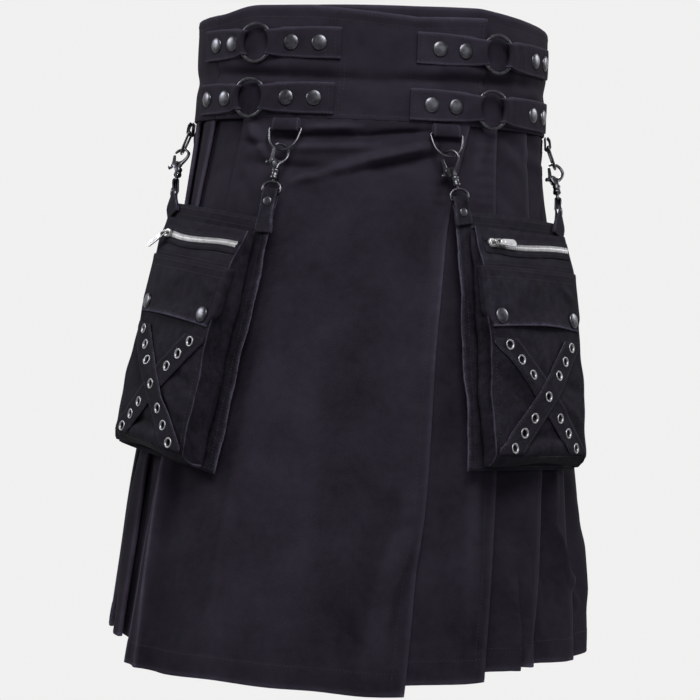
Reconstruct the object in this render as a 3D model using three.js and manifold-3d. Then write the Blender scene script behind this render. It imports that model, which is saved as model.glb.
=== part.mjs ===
// A utility kilt in black cotton twill, in the hollow shape that it has when it is worn.
// A wrapped waistband carries four ring straps and a pleated skirt, and two box pockets hang on snap hooks.
// Millimetres, +Z up, the front faces -Y. The origin is the middle of the waist, level with its front edge.
import * as THREE from "three";
import { mergeVertices } from "three/addons/utils/BufferGeometryUtils.js";
import Module from "manifold-3d";

const wasm = await Module();
wasm.setup();

// Cloth and clearances
const TWILL = 1.2; // wall of one layer of the skirt's cloth
const FOLDED = 2.4; // wall of the waistband, which is two layers and a stiffener
const SEAM = 0.3; // gap between pieces that meet at a seam
const LIE = 0.45; // clearance under a piece that lies on a curved panel
const MITRE_LIMIT = 0.62; // a wall's corner reaches out by its half thickness over no less than this

// Waistband and skirt: depths are measured down from the waist's front edge, and angles in degrees
// from the front middle, plus towards +X.
const BAND_DEPTH = 102;
const OVER_HEM = 610;
const UNDER_HEM = 601;
const PLEAT_HEM = 594;
const OVER_LEVEL = 3; // how far the wrapped-over layer lies outside the layer beneath
const OVER_START = -60;
const OVER_FULL = -38;
const OVER_END = 36;
const UNDER_START = -32;
const BAND_STEP = 6; // degrees between the waistband's columns

// The body of the cloth: half width and half depth of its middle line at each depth.
const FORM = [
  { depth: 0, halfWidth: 167, halfDepth: 128 },
  { depth: 110, halfWidth: 168, halfDepth: 130 },
  { depth: 200, halfWidth: 178, halfDepth: 144 },
  { depth: 300, halfWidth: 196, halfDepth: 160 },
  { depth: 450, halfWidth: 217, halfDepth: 182 },
  { depth: 610, halfWidth: 235, halfDepth: 200 },
];

// The waist's upper edge dips at the hips, and the layer beneath stands up beside the wrap.
const WAIST_EDGE = [
  { angle: -40, under: 0, over: 0 },
  { angle: -20, under: 0, over: 1 },
  { angle: 12, under: -2, over: 8 },
  { angle: 34, under: -5, over: 4 },
  { angle: 60, under: 1, over: 4 },
  { angle: 90, under: 7, over: 4 },
  { angle: 180, under: 3, over: 4 },
  { angle: 270, under: 8, over: 4 },
  { angle: 300, under: 6, over: 6 },
];
const OVER_EDGE_LEFT = 6; // depth of the over layer's upper edge at its left seam
const OVER_EDGE_RISE = 20; // degrees over which that edge rises to the table's values

// Free edges of the two aprons at each depth.
const APRON_EDGES = [
  { depth: 102, overLeft: -44, overRight: 31, underRight: 43 },
  { depth: 150, overLeft: -46.5, overRight: 26, underRight: 41.5 },
  { depth: 200, overLeft: -48.5, overRight: 22, underRight: 40.5 },
  { depth: 300, overLeft: -52, overRight: 18.2, underRight: 38 },
  { depth: 430, overLeft: -57, overRight: 15.6, underRight: 35 },
  { depth: 500, overLeft: -61.5, overRight: 13.3, underRight: 33 },
  { depth: 610, overLeft: -62.5, overRight: 10.6, underRight: 29.6 },
];
const UNDER_LEFT = -25;
const APRON_ROWS = [BAND_DEPTH + SEAM, 150, 200, 270, 350, 430, 500, 560];
const APRON_COLUMNS = { over: 15, under: 11 };
const APRON_FLARE = 3; // how much further the over apron stands off at the hem
const LAP_LEVEL_FROM = -44; // past this angle the over apron keeps one level where it laps the pleats

// Knife pleats: angles of the first, second and last fold edges at each depth; the others share the rest.
const PLEATS = 16;
const FOLDS = [
  { depth: 102, first: 60, second: 76, last: 298.4 },
  { depth: 190, first: 59, second: 72, last: 293 },
  { depth: 420, first: 53, second: 65, last: 291 },
  { depth: 540, first: 47.5, second: 65, last: 290 },
  { depth: 594, first: 44.5, second: 64, last: 290 },
];
const STITCHED_TO = 190; // pleats are sewn down to this depth
const PLEAT_ROWS = [BAND_DEPTH + SEAM, 145, STITCHED_TO, 270, 350, 430, 515, PLEAT_HEM];
const UNDERLAY = 7.5; // degrees that a pleat reaches back beneath its fold edge
const FOLD_GAP = 2.4; // between the middles of a fold's two legs
const TURN_BACK = 3.4; // how far in the return leg lies at the inner fold
const LOW_FACE = { past: 1.6, level: 5.2 }; // where the next face leaves the fold above it
const HALF_FACE = 1.6; // how far in a face lies half way between two folds
const PLEAT_OPENING = { more: 0.5, over: 400 }; // the folds stand this much more open towards the hem
const PLEAT_SWING = { degrees: 0.9, perFold: 2.3, perDepth: 95, over: 200 }; // how a fold edge wanders
const LAST_FACE = 0.6; // share of the last face that is flat under the over apron's lap

// Ring straps: two tiers, each with a front tab and a rear strap on both sides.
const RING_RADIUS = 17.25;
const RING_WIRE = 1.75;
const STRAP_HALF = 14;
const STRAP_LOOP_HALF = 11; // half height where the strap is gathered in the ring
const STRAP_CLOTH = 1.2;
const LOOP_CLEAR = 0.75;
const CAP = { radius: 7.2, height: 2.3 };
const RIVET = { radius: 4, height: 1.4 };
const STRAP_STEP = 7; // degrees between a strap's columns
const STRAP_ROWS = [1, 0.55, 0, -0.55, -1];
const STRAP_LIFTS = 9.5; // degrees from the ring's middle where the strap leaves the waistband
const STRAP_WRAP = [115, 60, 5, -50, -105]; // the strap's turn round the wire
const RING_SIDES = 5;
const RING_STEPS = 18;
// A right-hand rear strap climbs beside the wrap from the waistband's lower layer to the upper one.
const CLIMB = { from: 62, over: 14 };
// Angles of each ring, of the two straps' square ends and of their snaps.
const STRAPS = [
  {
    name: "upper_left", depth: 34, ring: -39,
    front: { end: -11, caps: [-17.5, -26.5] }, rear: { end: -68, caps: [-50, -59.5] },
  },
  {
    name: "lower_left", depth: 84, ring: -40.5,
    front: { end: -12.5, caps: [-18.5, -27.5] }, rear: { end: -71, caps: [-53, -64.5] },
  },
  {
    name: "upper_right", depth: 35, ring: 39.5,
    front: { end: 12, caps: [19, 27.5] }, rear: { end: 77, caps: [61.5, 71] },
  },
  {
    name: "lower_right", depth: 86, ring: 38,
    front: { end: 10.5, caps: [17, 25] }, rear: { end: 77, caps: [61, 71] },
  },
];

// Hangers: a cloth loop under the waistband, a D ring, a swivel snap hook and the pocket's tab.
const LOOP_WIDTH = 26;
const LOOP_CLOTH = 1.2;
const LOOP_TOP_GAP = 0.7; // between the waistband's lower edge and the loop's ends
const LOOP_STRAIGHT = 4; // the loop lies flat down to this far above the bar
const LOOP_WRAP = [60, 20, -20, -60]; // the loop's turn below the bar
const SNUG = 0.9; // a folded strap's legs lie this share of its turn's radius from the wire
const BAR_DEPTH = 112;
const D_HALF = 15;
const D_DROP = 22;
const D_LEAN = 16; // degrees that the D ring stands off the cloth below its bar
const D_WIRE = 1.2;
const D_STEPS = 9;
const D_FULLNESS = 0.8; // under 1 the D's arc is squarer than half an ellipse
const WIRE_SIDES = 5;

// The snap hook in its own frame: x across its flat, y along it towards the eye, z out of its flat.
const JAW_RADIUS = 6.9;
const JAW_OUTER = 9.6;
const JAW_THICK = 3.1;
const JAW_OPENING = { from: 68, sweep: 250 };
const WIRE_IN_JAW = 3; // the D ring's wire lies this far above the jaw's middle
const NECK_HALF = 2.6;
const BARREL_START = 16;
const BARREL_END = 25.5;
const BARREL_RADIUS = 3.7;
const BARREL_BORE = { depth: 7, play: 0.5 };
const POST_RADIUS = 1.6;
const POST_IN_BARREL = 5.5;
const LUG = { width: 7, length: 3, x: 3, y: 14.6 }; // joins the two cheeks to the neck
const CHEEK = { width: 5.6, length: 8, thick: 1, x: 4.4, beyond: 2.4, spread: 0.1 };
const GATE = { x: 6.1, y: 9.2, reach: 11.4, pin: 0.9, hole: 1.2, slack: 1.4 };
const KNOB = { radius: 1.9, length: 3, x: 3.6, y: 3 };
const EYE_BAR = 37;
const EYE_HALF = 8.5;
const EYE_WIRE = 1.3;
const EYE_TOP = 2.2; // the eye's loop starts this far past the barrel
const EYE_SHOULDER = 0.55; // half width of the loop's upper corners, as a share of its bar's
const EYE_CORNER = 4;
// A hook's flat is turned from the cloth by its turn, so that the D ring passes through the jaw.
const HANGERS = [
  { name: "right_front", angle: 22, base: 4.4, turn: 45 },
  { name: "right_rear", angle: 86, base: 1.6, turn: 60 },
  { name: "left_front", angle: -27, base: 4.4, turn: -45 },
  { name: "left_rear", angle: -91, base: 1.6, turn: -64 },
];

// Box pockets: each hangs in its own frame, u across, v down and w outwards.
const BACK_HALF = 75;
const BACK_TOP = -14;
const BACK_BOTTOM = 219;
const BACK_CURVE = 0.0014; // the back panel bends round the hip by this times u squared
const BAG_HALF = 66;
const BAG_BOTTOM = 215;
const BAG_CLOTH = 1.4;
const BACK_ROWS = [BACK_TOP, 50, 110, 165, BACK_BOTTOM];
const BACK_COLUMNS = 8;
const BAG_CORNER = 4;
const BAG_OPEN = 14; // the cut that hollows the bag runs this far out of its open back
// Facing is the way that a pocket's back looks, roll turns it in its own plane, and wedge makes its
// +u side deeper than its -u side. Pull is the direction that the zip's pull points, round from +u.
const POCKETS = [
  {
    name: "right", angle: 48, facing: 45, top: 198, stand: 6, roll: 2,
    depth: 16, bulge: 8.5, wedge: 0, pull: 0,
  },
  {
    name: "left", angle: -51, facing: -49, top: 203, stand: 8, roll: 6,
    depth: 17, bulge: 8, wedge: 10, pull: 145,
  },
];
// The bag's front stands off the back panel by a share of its full depth at each height.
const BAG_PROFILE = [
  { v: 0, share: 0.35, swell: 0 },
  { v: 16, share: 0.55, swell: 0.2 },
  { v: 36, share: 0.8, swell: 0.5 },
  { v: 92, share: 1, swell: 0.85 },
  { v: 150, share: 1, swell: 1 },
  { v: 207, share: 0.95, swell: 0.75 },
  { v: 212.5, share: 0.75, swell: 0.4 },
  { v: BAG_BOTTOM, share: 0.45, swell: 0.05 },
];
const FLAP_HALF = 68.2;
const FLAP_ROWS = [37, 50, 64, 78, 92];
const FLAP_COLUMNS = [-62, -44, -22, 0, 22, 44, 62]; // between the two folded sides
const FLAP_TUCK = { edge: 11, corner: 3.4 }; // how far the folded sides reach back
const FLAP_CAP = { u: 52, v: 82, foot: 0.5 };
const CROSS = { half: 16, middle: 154.5, end: 1.12, limit: 62, clear: 0.65 }; // cut level at their ends
const EYELETS = { u: 45, v: 46.5, shares: [0.42, 0.71, 1] }; // from the middle out along each arm
const EYELET_HOLE = 3;
const ZIP = { v: 16, half: 56, tape: 3, thick: 1.4, columns: 8 };
const SLIDER = { u: -50, radius: 4.4, height: 2.4, stands: 0.5 };
const POST = { width: 3.6, thick: 2, height: 4.6, hole: 1.15, pin: 0.8 };
const PULL = { start: 4, shoulder: 8, end: 24, root: 2.6, neck: 3.2, half: 3.6, thick: 1.4 };
const EAR = { length: 7.2, thick: 1.3, height: 2, x: 2.6, spread: 1.95 };
const TAB_HALF = 7;
const TAB_END = 5; // how far the tab reaches past its rivet
const TAB_WRAP = [120, 180, 240]; // the tab's turn over the eye's bar
const TAB_STRAIGHT = 4;
const RIVET_U = 69;
const RIVET_V = -7;
const RIVET_RISE = 9; // both legs lie along the panel this far above the rivet
const RIVET_AIM = 3.6; // the hook's own line passes this far outside the rivet's seat
const CAP_SINKS = 0.6; // a fused snap or rivet reaches this far into its strap

// Materials
const cloth = new THREE.Color(0x25222c);
const gunmetal = new THREE.Color(0x4a4a50);
const bright = new THREE.Color(0xb9babf);
const twill = () => new THREE.MeshStandardMaterial({ color: cloth, roughness: 0.92, metalness: 0 });
const darkMetal = () => new THREE.MeshStandardMaterial({ color: gunmetal, roughness: 0.35, metalness: 0.9 });
const brightMetal = () => new THREE.MeshStandardMaterial({ color: bright, roughness: 0.25, metalness: 1 });

const vec = (x, y, z) => new THREE.Vector3(x, y, z);
const rad = THREE.MathUtils.degToRad;
const smooth = (x) => THREE.MathUtils.smoothstep(x, 0, 1);
const range = (count) => Array.from({ length: count }, (_, i) => i);
const mixed = (a, b, share) => a + (b - a) * share;

// A column of a table read between its rows.
function read(table, along, value, column) {
  const next = table.findIndex((row) => row[along] >= value);
  if (next === 0) return table[0][column];
  if (next < 0) return table[table.length - 1][column];
  const a = table[next - 1];
  const b = table[next];
  return mixed(a[column], b[column], (value - a[along]) / (b[along] - a[along]));
}

// A point of the form at an angle and a depth, moved out.
function onForm(angle, depth, out = 0) {
  const halfWidth = read(FORM, "depth", depth, "halfWidth") + out;
  const halfDepth = read(FORM, "depth", depth, "halfDepth") + out;
  return vec(halfWidth * Math.sin(rad(angle)), -halfDepth * Math.cos(rad(angle)), -depth);
}

// A place given along, down and out from a frame.
const placeIn = ({ at, along, down, outward }, a, d, o) =>
  at.clone().addScaledVector(along, a).addScaledVector(down, d).addScaledVector(outward, o);

// The form's own directions at a point: along the waist, down the cloth and out of it.
function frameOnForm(angle, depth, out) {
  const at = onForm(angle, depth, out);
  const along = onForm(angle + 1, depth, out).sub(onForm(angle - 1, depth, out)).normalize();
  const down = onForm(angle, depth + 20, out).sub(onForm(angle, depth - 5, out)).normalize();
  const outward = new THREE.Vector3().crossVectors(down, along).normalize();
  return { at, along, down: new THREE.Vector3().crossVectors(along, outward).normalize(), outward };
}

function geometryOf(points, triangles) {
  const flat = new Float32Array(points.length * 3);
  points.forEach((p, i) => p.toArray(flat, i * 3));
  const geometry = new THREE.BufferGeometry();
  geometry.setAttribute("position", new THREE.BufferAttribute(flat, 3));
  geometry.setIndex(triangles.flat());
  geometry.computeVertexNormals();
  return geometry;
}

// A grid of points from row values and a column count.
const gridOf = (rows, columns, at) => rows.map((row) => range(columns).map((i) => at(row, i)));

// A cloth wall: a grid of middle points, rows going down and columns towards +angle, made thick both ways.
function wall(grid, thickness) {
  const rows = grid.length;
  const columns = grid[0].length;
  const outer = [];
  const inner = [];
  for (let r = 0; r < rows; r++) {
    for (let i = 0; i < columns; i++) {
      const p = grid[r][i];
      const down = grid[Math.min(r + 1, rows - 1)][i].clone().sub(grid[Math.max(r - 1, 0)][i]);
      const before = i > 0 ? p.clone().sub(grid[r][i - 1]) : grid[r][1].clone().sub(p);
      const after = i < columns - 1 ? grid[r][i + 1].clone().sub(p) : before;
      const one = new THREE.Vector3().crossVectors(down, before).normalize();
      const two = new THREE.Vector3().crossVectors(down, after).normalize();
      const middle = one.clone().add(two).normalize();
      const reach = thickness / 2 / Math.max(MITRE_LIMIT, middle.dot(two));
      outer.push(p.clone().addScaledVector(middle, reach));
      inner.push(p.clone().addScaledVector(middle, -reach));
    }
  }
  const O = (r, i) => r * columns + i;
  const I = (r, i) => rows * columns + r * columns + i;
  const triangles = [];
  const quad = (a, b, c, d) => triangles.push([a, b, c], [a, c, d]);
  for (let r = 0; r < rows - 1; r++) {
    for (let i = 0; i < columns - 1; i++) {
      quad(O(r, i), O(r + 1, i), O(r + 1, i + 1), O(r, i + 1));
      quad(I(r, i), I(r, i + 1), I(r + 1, i + 1), I(r + 1, i));
    }
    quad(O(r, 0), I(r, 0), I(r + 1, 0), O(r + 1, 0));
    quad(O(r, columns - 1), O(r + 1, columns - 1), I(r + 1, columns - 1), I(r, columns - 1));
  }
  for (let i = 0; i < columns - 1; i++) {
    quad(O(0, i), O(0, i + 1), I(0, i + 1), I(0, i));
    quad(O(rows - 1, i), I(rows - 1, i), I(rows - 1, i + 1), O(rows - 1, i + 1));
  }
  return geometryOf([...outer, ...inner], triangles);
}

// A closed tube round a flat loop of points.
function loopTube(points, normal, radius, sides) {
  const count = points.length;
  const ring = [];
  points.forEach((p, i) => {
    const ahead = points[(i + 1) % count].clone().sub(points[(i + count - 1) % count]).normalize();
    const side = new THREE.Vector3().crossVectors(ahead, normal).normalize();
    for (const k of range(sides)) {
      const turn = (2 * Math.PI * (k + 0.5)) / sides;
      ring.push(
        p.clone().addScaledVector(side, radius * Math.cos(turn)).addScaledVector(normal, radius * Math.sin(turn)),
      );
    }
  });
  const triangles = [];
  for (let i = 0; i < count; i++) {
    for (let k = 0; k < sides; k++) {
      const a = i * sides + k;
      const b = ((i + 1) % count) * sides + k;
      const c = ((i + 1) % count) * sides + ((k + 1) % sides);
      const d = i * sides + ((k + 1) % sides);
      triangles.push([a, c, b], [a, d, c]);
    }
  }
  return geometryOf(ring, triangles);
}

// A closed body through a stack of closed sections with equal counts.
function loft(sections) {
  const count = sections[0].length;
  const triangles = [];
  for (let r = 0; r < sections.length - 1; r++) {
    for (let i = 0; i < count; i++) {
      const a = r * count + i;
      const b = r * count + ((i + 1) % count);
      triangles.push([a, b + count, b], [a, a + count, b + count]);
    }
  }
  const flat = sections[0].map((p) => new THREE.Vector2(p.u, p.w));
  const caps = THREE.ShapeUtils.triangulateShape(flat, []);
  const turn = ([a, b, c]) => flat[b].clone().sub(flat[a]).cross(flat[c].clone().sub(flat[a]));
  const turned = caps.reduce((sum, face) => sum + turn(face), 0) * THREE.ShapeUtils.area(flat) < 0;
  if (turned) caps.forEach((face) => face.reverse());
  const last = (sections.length - 1) * count;
  caps.forEach(([a, b, c]) => triangles.push([a, b, c], [last + a, last + c, last + b]));
  return { points: sections.flat(), triangles };
}

// A geometry as a solid that can be joined and cut, with outward faces whichever way it was wound.
function solidOf(geometry) {
  const bare = geometry.index ? geometry.toNonIndexed() : geometry.clone();
  Object.keys(bare.attributes).forEach((name) => name !== "position" && bare.deleteAttribute(name));
  const merged = mergeVertices(bare, 1e-4);
  const triVerts = new Uint32Array(merged.index.array);
  const vertProperties = merged.attributes.position.array;
  const make = () => new wasm.Manifold(new wasm.Mesh({ numProp: 3, vertProperties, triVerts }));
  const solid = make();
  if (solid.volume() > 0) return solid;
  for (let i = 0; i < triVerts.length; i += 3) {
    [triVerts[i + 1], triVerts[i + 2]] = [triVerts[i + 2], triVerts[i + 1]];
  }
  return make();
}

function geometryFrom(solid) {
  const mesh = solid.getMesh();
  const geometry = new THREE.BufferGeometry();
  geometry.setAttribute("position", new THREE.BufferAttribute(new Float32Array(mesh.vertProperties), 3));
  geometry.setIndex(new THREE.BufferAttribute(new Uint32Array(mesh.triVerts), 1));
  geometry.computeVertexNormals();
  return geometry;
}

const join = (...pieces) => geometryFrom(pieces.map(solidOf).reduce((a, b) => a.add(b)));
const cut = (body, ...tools) => geometryFrom(tools.map(solidOf).reduce((a, b) => a.subtract(b), solidOf(body)));

// A geometry moved from its own axes to a place with the three given directions.
function placed(geometry, at, x, y, z) {
  const matrix = new THREE.Matrix4().makeBasis(x, y, z).setPosition(at);
  return geometry.clone().applyMatrix4(matrix);
}

// Any two directions square to the one given.
function across(axis) {
  const helper = Math.abs(axis.z) < 0.9 ? vec(0, 0, 1) : vec(1, 0, 0);
  const x = new THREE.Vector3().crossVectors(helper, axis).normalize();
  return [x, new THREE.Vector3().crossVectors(axis, x)];
}

// A rod along a direction, from a start point.
function rod(at, axis, radius, length, sides = 8) {
  const shape = new THREE.CylinderGeometry(radius, radius, length, sides).translate(0, length / 2, 0);
  const [x, z] = across(axis);
  return placed(shape, at, z, axis, x);
}

// A snap cap: a low dome that faces along its axis, with its foot a little below the point given.
function cap(at, axis, foot, { radius, height } = CAP) {
  const profile = [
    new THREE.Vector2(0, -foot),
    new THREE.Vector2(radius, -foot),
    new THREE.Vector2(radius * 0.9, height * 0.6),
    new THREE.Vector2(0, height),
  ];
  const [x, z] = across(axis);
  return placed(new THREE.LatheGeometry(profile, 7), at, z, axis, x);
}

const kilt = new THREE.Group();
function add(name, geometry, material, parent = kilt) {
  const mesh = new THREE.Mesh(geometry, material());
  mesh.name = name;
  parent.add(mesh);
  return mesh;
}

// Waistband: one strip that runs from its hidden end under the front, right round, and over itself.
const overLevel = (angle) => OVER_LEVEL * smooth((angle - OVER_START) / (OVER_FULL - OVER_START));
const bandTop = (angle) => (angle <= OVER_END ? overLevel(angle) : 0) + FOLDED / 2;

function band(from, to, level, edge) {
  const columns = Math.round((to - from) / BAND_STEP);
  const rows = [0, BAND_DEPTH / 2, BAND_DEPTH];
  return wall(
    gridOf(rows, columns + 1, (depth, i) => {
      const angle = mixed(from, to, i / columns);
      const top = edge(angle);
      return onForm(angle, mixed(top, BAND_DEPTH, depth / BAND_DEPTH), level(angle));
    }),
    FOLDED,
  );
}

function makeWaistband() {
  const seam = THREE.MathUtils.radToDeg(SEAM / 2 / FORM[0].halfDepth);
  const underEdge = (angle) => read(WAIST_EDGE, "angle", angle, "under");
  const risen = (angle) => smooth((angle - OVER_START) / OVER_EDGE_RISE);
  const overEdge = (angle) => mixed(OVER_EDGE_LEFT, read(WAIST_EDGE, "angle", angle, "over"), risen(angle));
  add("waistband_main", band(UNDER_START, 360 + OVER_START - seam, () => 0, underEdge), twill);
  add("waistband_over", band(OVER_START + seam, OVER_END, overLevel, overEdge), twill);
}

// Aprons: the over apron has a free edge on the right and laps the pleats on the left.
const apronEdge = (depth, column) => read(APRON_EDGES, "depth", depth, column);
const hang = (depth) => smooth((depth - BAND_DEPTH) / (OVER_HEM - BAND_DEPTH));

function apron(left, right, hem, level, columns) {
  const rows = [...APRON_ROWS, hem];
  return wall(
    gridOf(rows, columns + 1, (depth, i) => {
      const angle = mixed(left(depth), right(depth), i / columns);
      return onForm(angle, depth, level(angle, depth));
    }),
    TWILL,
  );
}

function makeAprons() {
  const edge = (column) => (depth) => apronEdge(depth, column);
  const overOut = (angle, depth) => overLevel(Math.max(angle, LAP_LEVEL_FROM)) + APRON_FLARE * hang(depth);
  const over = apron(edge("overLeft"), edge("overRight"), OVER_HEM, overOut, APRON_COLUMNS.over);
  add("over_apron", over, twill);
  const underOut = (angle, depth) => hang(depth);
  const under = apron(() => UNDER_LEFT, edge("underRight"), UNDER_HEM, underOut, APRON_COLUMNS.under);
  add("under_apron", under, twill);
}

// Pleats: one strip that folds back beneath itself at every fold edge.
function foldAngle(k, depth) {
  const first = read(FOLDS, "depth", depth, "first");
  const second = read(FOLDS, "depth", depth, "second");
  const last = read(FOLDS, "depth", depth, "last");
  if (k === 0) return apronEdge(depth, "underRight");
  if (k === 1) return first;
  const loose = smooth((depth - STITCHED_TO) / PLEAT_SWING.over);
  const wave = Math.sin(PLEAT_SWING.perFold * k + depth / PLEAT_SWING.perDepth);
  const swing = k < PLEATS ? PLEAT_SWING.degrees * loose * wave : 0;
  return mixed(second, last, (k - 2) / (PLEATS - 2)) + swing;
}

function pleatRow(depth) {
  const open = 1 + PLEAT_OPENING.more * smooth((depth - STITCHED_TO) / PLEAT_OPENING.over);
  const row = [];
  const put = (angle, inwards) => row.push(onForm(angle, depth, -inwards * open));
  put(foldAngle(0, depth) - UNDERLAY, LOW_FACE.level);
  for (let k = 1; k <= PLEATS; k++) {
    const here = foldAngle(k - 1, depth);
    const fold = foldAngle(k, depth);
    put(here + LOW_FACE.past, LOW_FACE.level);
    put(mixed(here, fold, 0.5), HALF_FACE);
    put(fold, 0);
    put(fold, FOLD_GAP);
    put(fold - UNDERLAY, TURN_BACK);
    put(fold - UNDERLAY, TURN_BACK + FOLD_GAP);
  }
  const last = foldAngle(PLEATS, depth);
  const lap = 360 + apronEdge(depth, "overLeft");
  put(last + LOW_FACE.past, LOW_FACE.level);
  put(mixed(last, lap, LAST_FACE), TURN_BACK);
  put(lap + UNDERLAY, TURN_BACK);
  return row;
}

const makePleats = () => add("pleats", wall(PLEAT_ROWS.map(pleatRow), TWILL), twill);

// Ring straps: a strap goes out over the ring's wire, round it, and back beneath itself.
const wireLevel = () => LIE + STRAP_CLOTH + LOOP_CLEAR + RING_WIRE;
const ringBase = (angle) => (angle > 0 ? OVER_LEVEL : overLevel(angle)) + FOLDED / 2;
const climbBase = (angle) => FOLDED / 2 + OVER_LEVEL * smooth((CLIMB.from - angle) / CLIMB.over);

function strapGeometry(depth, ring, { end, caps }) {
  const side = Math.sign(end - ring);
  const base = ring > 0 && side > 0 ? climbBase : bandTop;
  const frame = frameOnForm(ring, depth, ringBase(ring) + wireLevel());
  const lower = STRAP_CLOTH / 2 + LIE;
  const upper = lower + STRAP_CLOTH + LIE;
  const near = ring + side * STRAP_LIFTS;
  const steps = Math.ceil(Math.abs(end - near) / STRAP_STEP);
  const angles = range(steps + 1).map((i) => mixed(end, near, i / steps));
  const surface = (angle, z, level) => onForm(angle, depth - z, base(angle) + level);
  const rows = STRAP_ROWS.map((share) => {
    const row = angles.map((angle) => surface(angle, share * STRAP_HALF, upper));
    const z = share * STRAP_LOOP_HALF;
    const reach = Math.sqrt(RING_RADIUS ** 2 - z ** 2);
    const wide = (RING_WIRE * RING_RADIUS) / reach + LOOP_CLEAR + STRAP_CLOTH / 2;
    const tall = RING_WIRE + LOOP_CLEAR + STRAP_CLOTH / 2;
    STRAP_WRAP.map(rad).forEach((turn) => {
      row.push(placeIn(frame, side * (reach - wide * Math.cos(turn)), -z, tall * Math.sin(turn)));
    });
    return [...row, ...angles.toReversed().map((angle) => surface(angle, share * STRAP_HALF, lower))];
  });
  const strap = wall(side < 0 ? rows : rows.map((row) => row.toReversed()), STRAP_CLOTH);
  const domes = caps.map((angle) => {
    const seat = frameOnForm(angle, depth, base(angle) + upper + STRAP_CLOTH / 2);
    return cap(seat.at, seat.outward, CAP_SINKS);
  });
  return join(strap, ...domes);
}

function makeStraps() {
  for (const { name, depth, ring, front, rear } of STRAPS) {
    const frame = frameOnForm(ring, depth, ringBase(ring) + wireLevel());
    const torus = new THREE.TorusGeometry(RING_RADIUS, RING_WIRE, RING_SIDES, RING_STEPS);
    const { at, along, down, outward } = frame;
    add("ring_" + name, placed(torus, at, along, down.clone().negate(), outward), darkMetal);
    add("strap_" + name + "_front", strapGeometry(depth, ring, front), twill);
    add("strap_" + name + "_rear", strapGeometry(depth, ring, rear), twill);
  }
}

// A pocket's own directions, and the function that gives a point in them.
function pocketFrame({ angle, facing, top, stand, roll }) {
  const outward = vec(Math.sin(rad(facing)), -Math.cos(rad(facing)), 0);
  const level = vec(Math.cos(rad(facing)), Math.sin(rad(facing)), 0);
  const start = onForm(angle, top);
  const lean = onForm(angle, top + BAG_BOTTOM).sub(start).dot(outward) / BAG_BOTTOM;
  const drop = vec(0, 0, -1).addScaledVector(outward, lean).normalize();
  const w = new THREE.Vector3().crossVectors(drop, level).normalize();
  const u = level.clone().applyAxisAngle(w, -rad(roll));
  const v = drop.clone().applyAxisAngle(w, -rad(roll));
  const at = start.addScaledVector(w, stand);
  const point = (pu, pv, pw) => at.clone().addScaledVector(u, pu).addScaledVector(v, pv).addScaledVector(w, pw);
  return { u, v, w, point };
}

// The bag's front at a place: its point there and the directions across, down and out.
function onBag(pocket, frame, u, v) {
  const at = (du, dv) => frame.point(u + du, v + dv, bagFront(pocket, u + du, v + dv));
  const x = at(3, 0).sub(at(-3, 0)).normalize();
  const fall = at(0, 3).sub(at(0, -3));
  const z = new THREE.Vector3().crossVectors(fall, x).normalize();
  return { at: at(0, 0), x, y: new THREE.Vector3().crossVectors(z, x), z };
}

const backLevel = (u) => -BACK_CURVE * u * u;
function bagFront(pocket, u, v) {
  const share = read(BAG_PROFILE, "v", v, "share");
  const swell = read(BAG_PROFILE, "v", v, "swell");
  const round = Math.max(0, 1 - (u / BAG_HALF) ** 2);
  return (pocket.depth + (pocket.wedge * u) / BAG_HALF) * share + pocket.bulge * swell * round;
}

// One section of the bag at a height, drawn in by a margin, with its open back moved by another.
function bagSection(pocket, frame, v, margin, behind) {
  const half = BAG_HALF - margin;
  const front = [-half + BAG_CORNER, ...[-2, -1, 0, 1, 2].map((n) => (n * BAG_HALF) / 3), half - BAG_CORNER];
  const side = (u) => bagFront(pocket, u, v) - margin - BAG_CORNER;
  const list = [
    { u: -half, w: side(-BAG_HALF) },
    ...front.map((u) => ({ u, w: bagFront(pocket, u, v) - margin })),
    { u: half, w: side(BAG_HALF) },
    ...[1, 0.5, 0, -0.5, -1].map((share) => ({ u: share * half, w: backLevel(share * half) + behind })),
  ];
  return list.map(({ u, w }) => Object.assign(frame.point(u, v, w), { u, w }));
}

function makeBag(pocket, frame) {
  const behind = TWILL / 2 + LIE;
  const rows = BAG_PROFILE.map((row) => row.v);
  const outer = loft(rows.map((v) => bagSection(pocket, frame, v, 0, behind)));
  const innerRows = rows.map((v) => Math.min(Math.max(v, BAG_CLOTH), BAG_BOTTOM - BAG_CLOTH));
  const inner = loft(innerRows.map((v) => bagSection(pocket, frame, v, BAG_CLOTH, -BAG_OPEN)));
  const shell = cut(geometryOf(outer.points, outer.triangles), geometryOf(inner.points, inner.triangles));
  add("pocket_" + pocket.name + "_bag", shell, twill);
}

function makeBack(pocket, frame) {
  const grid = gridOf(BACK_ROWS, BACK_COLUMNS + 1, (v, i) => {
    const u = mixed(-BACK_HALF, BACK_HALF, i / BACK_COLUMNS);
    return frame.point(u, v, backLevel(u));
  });
  add("pocket_" + pocket.name + "_back", wall(grid, TWILL), twill);
}

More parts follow.
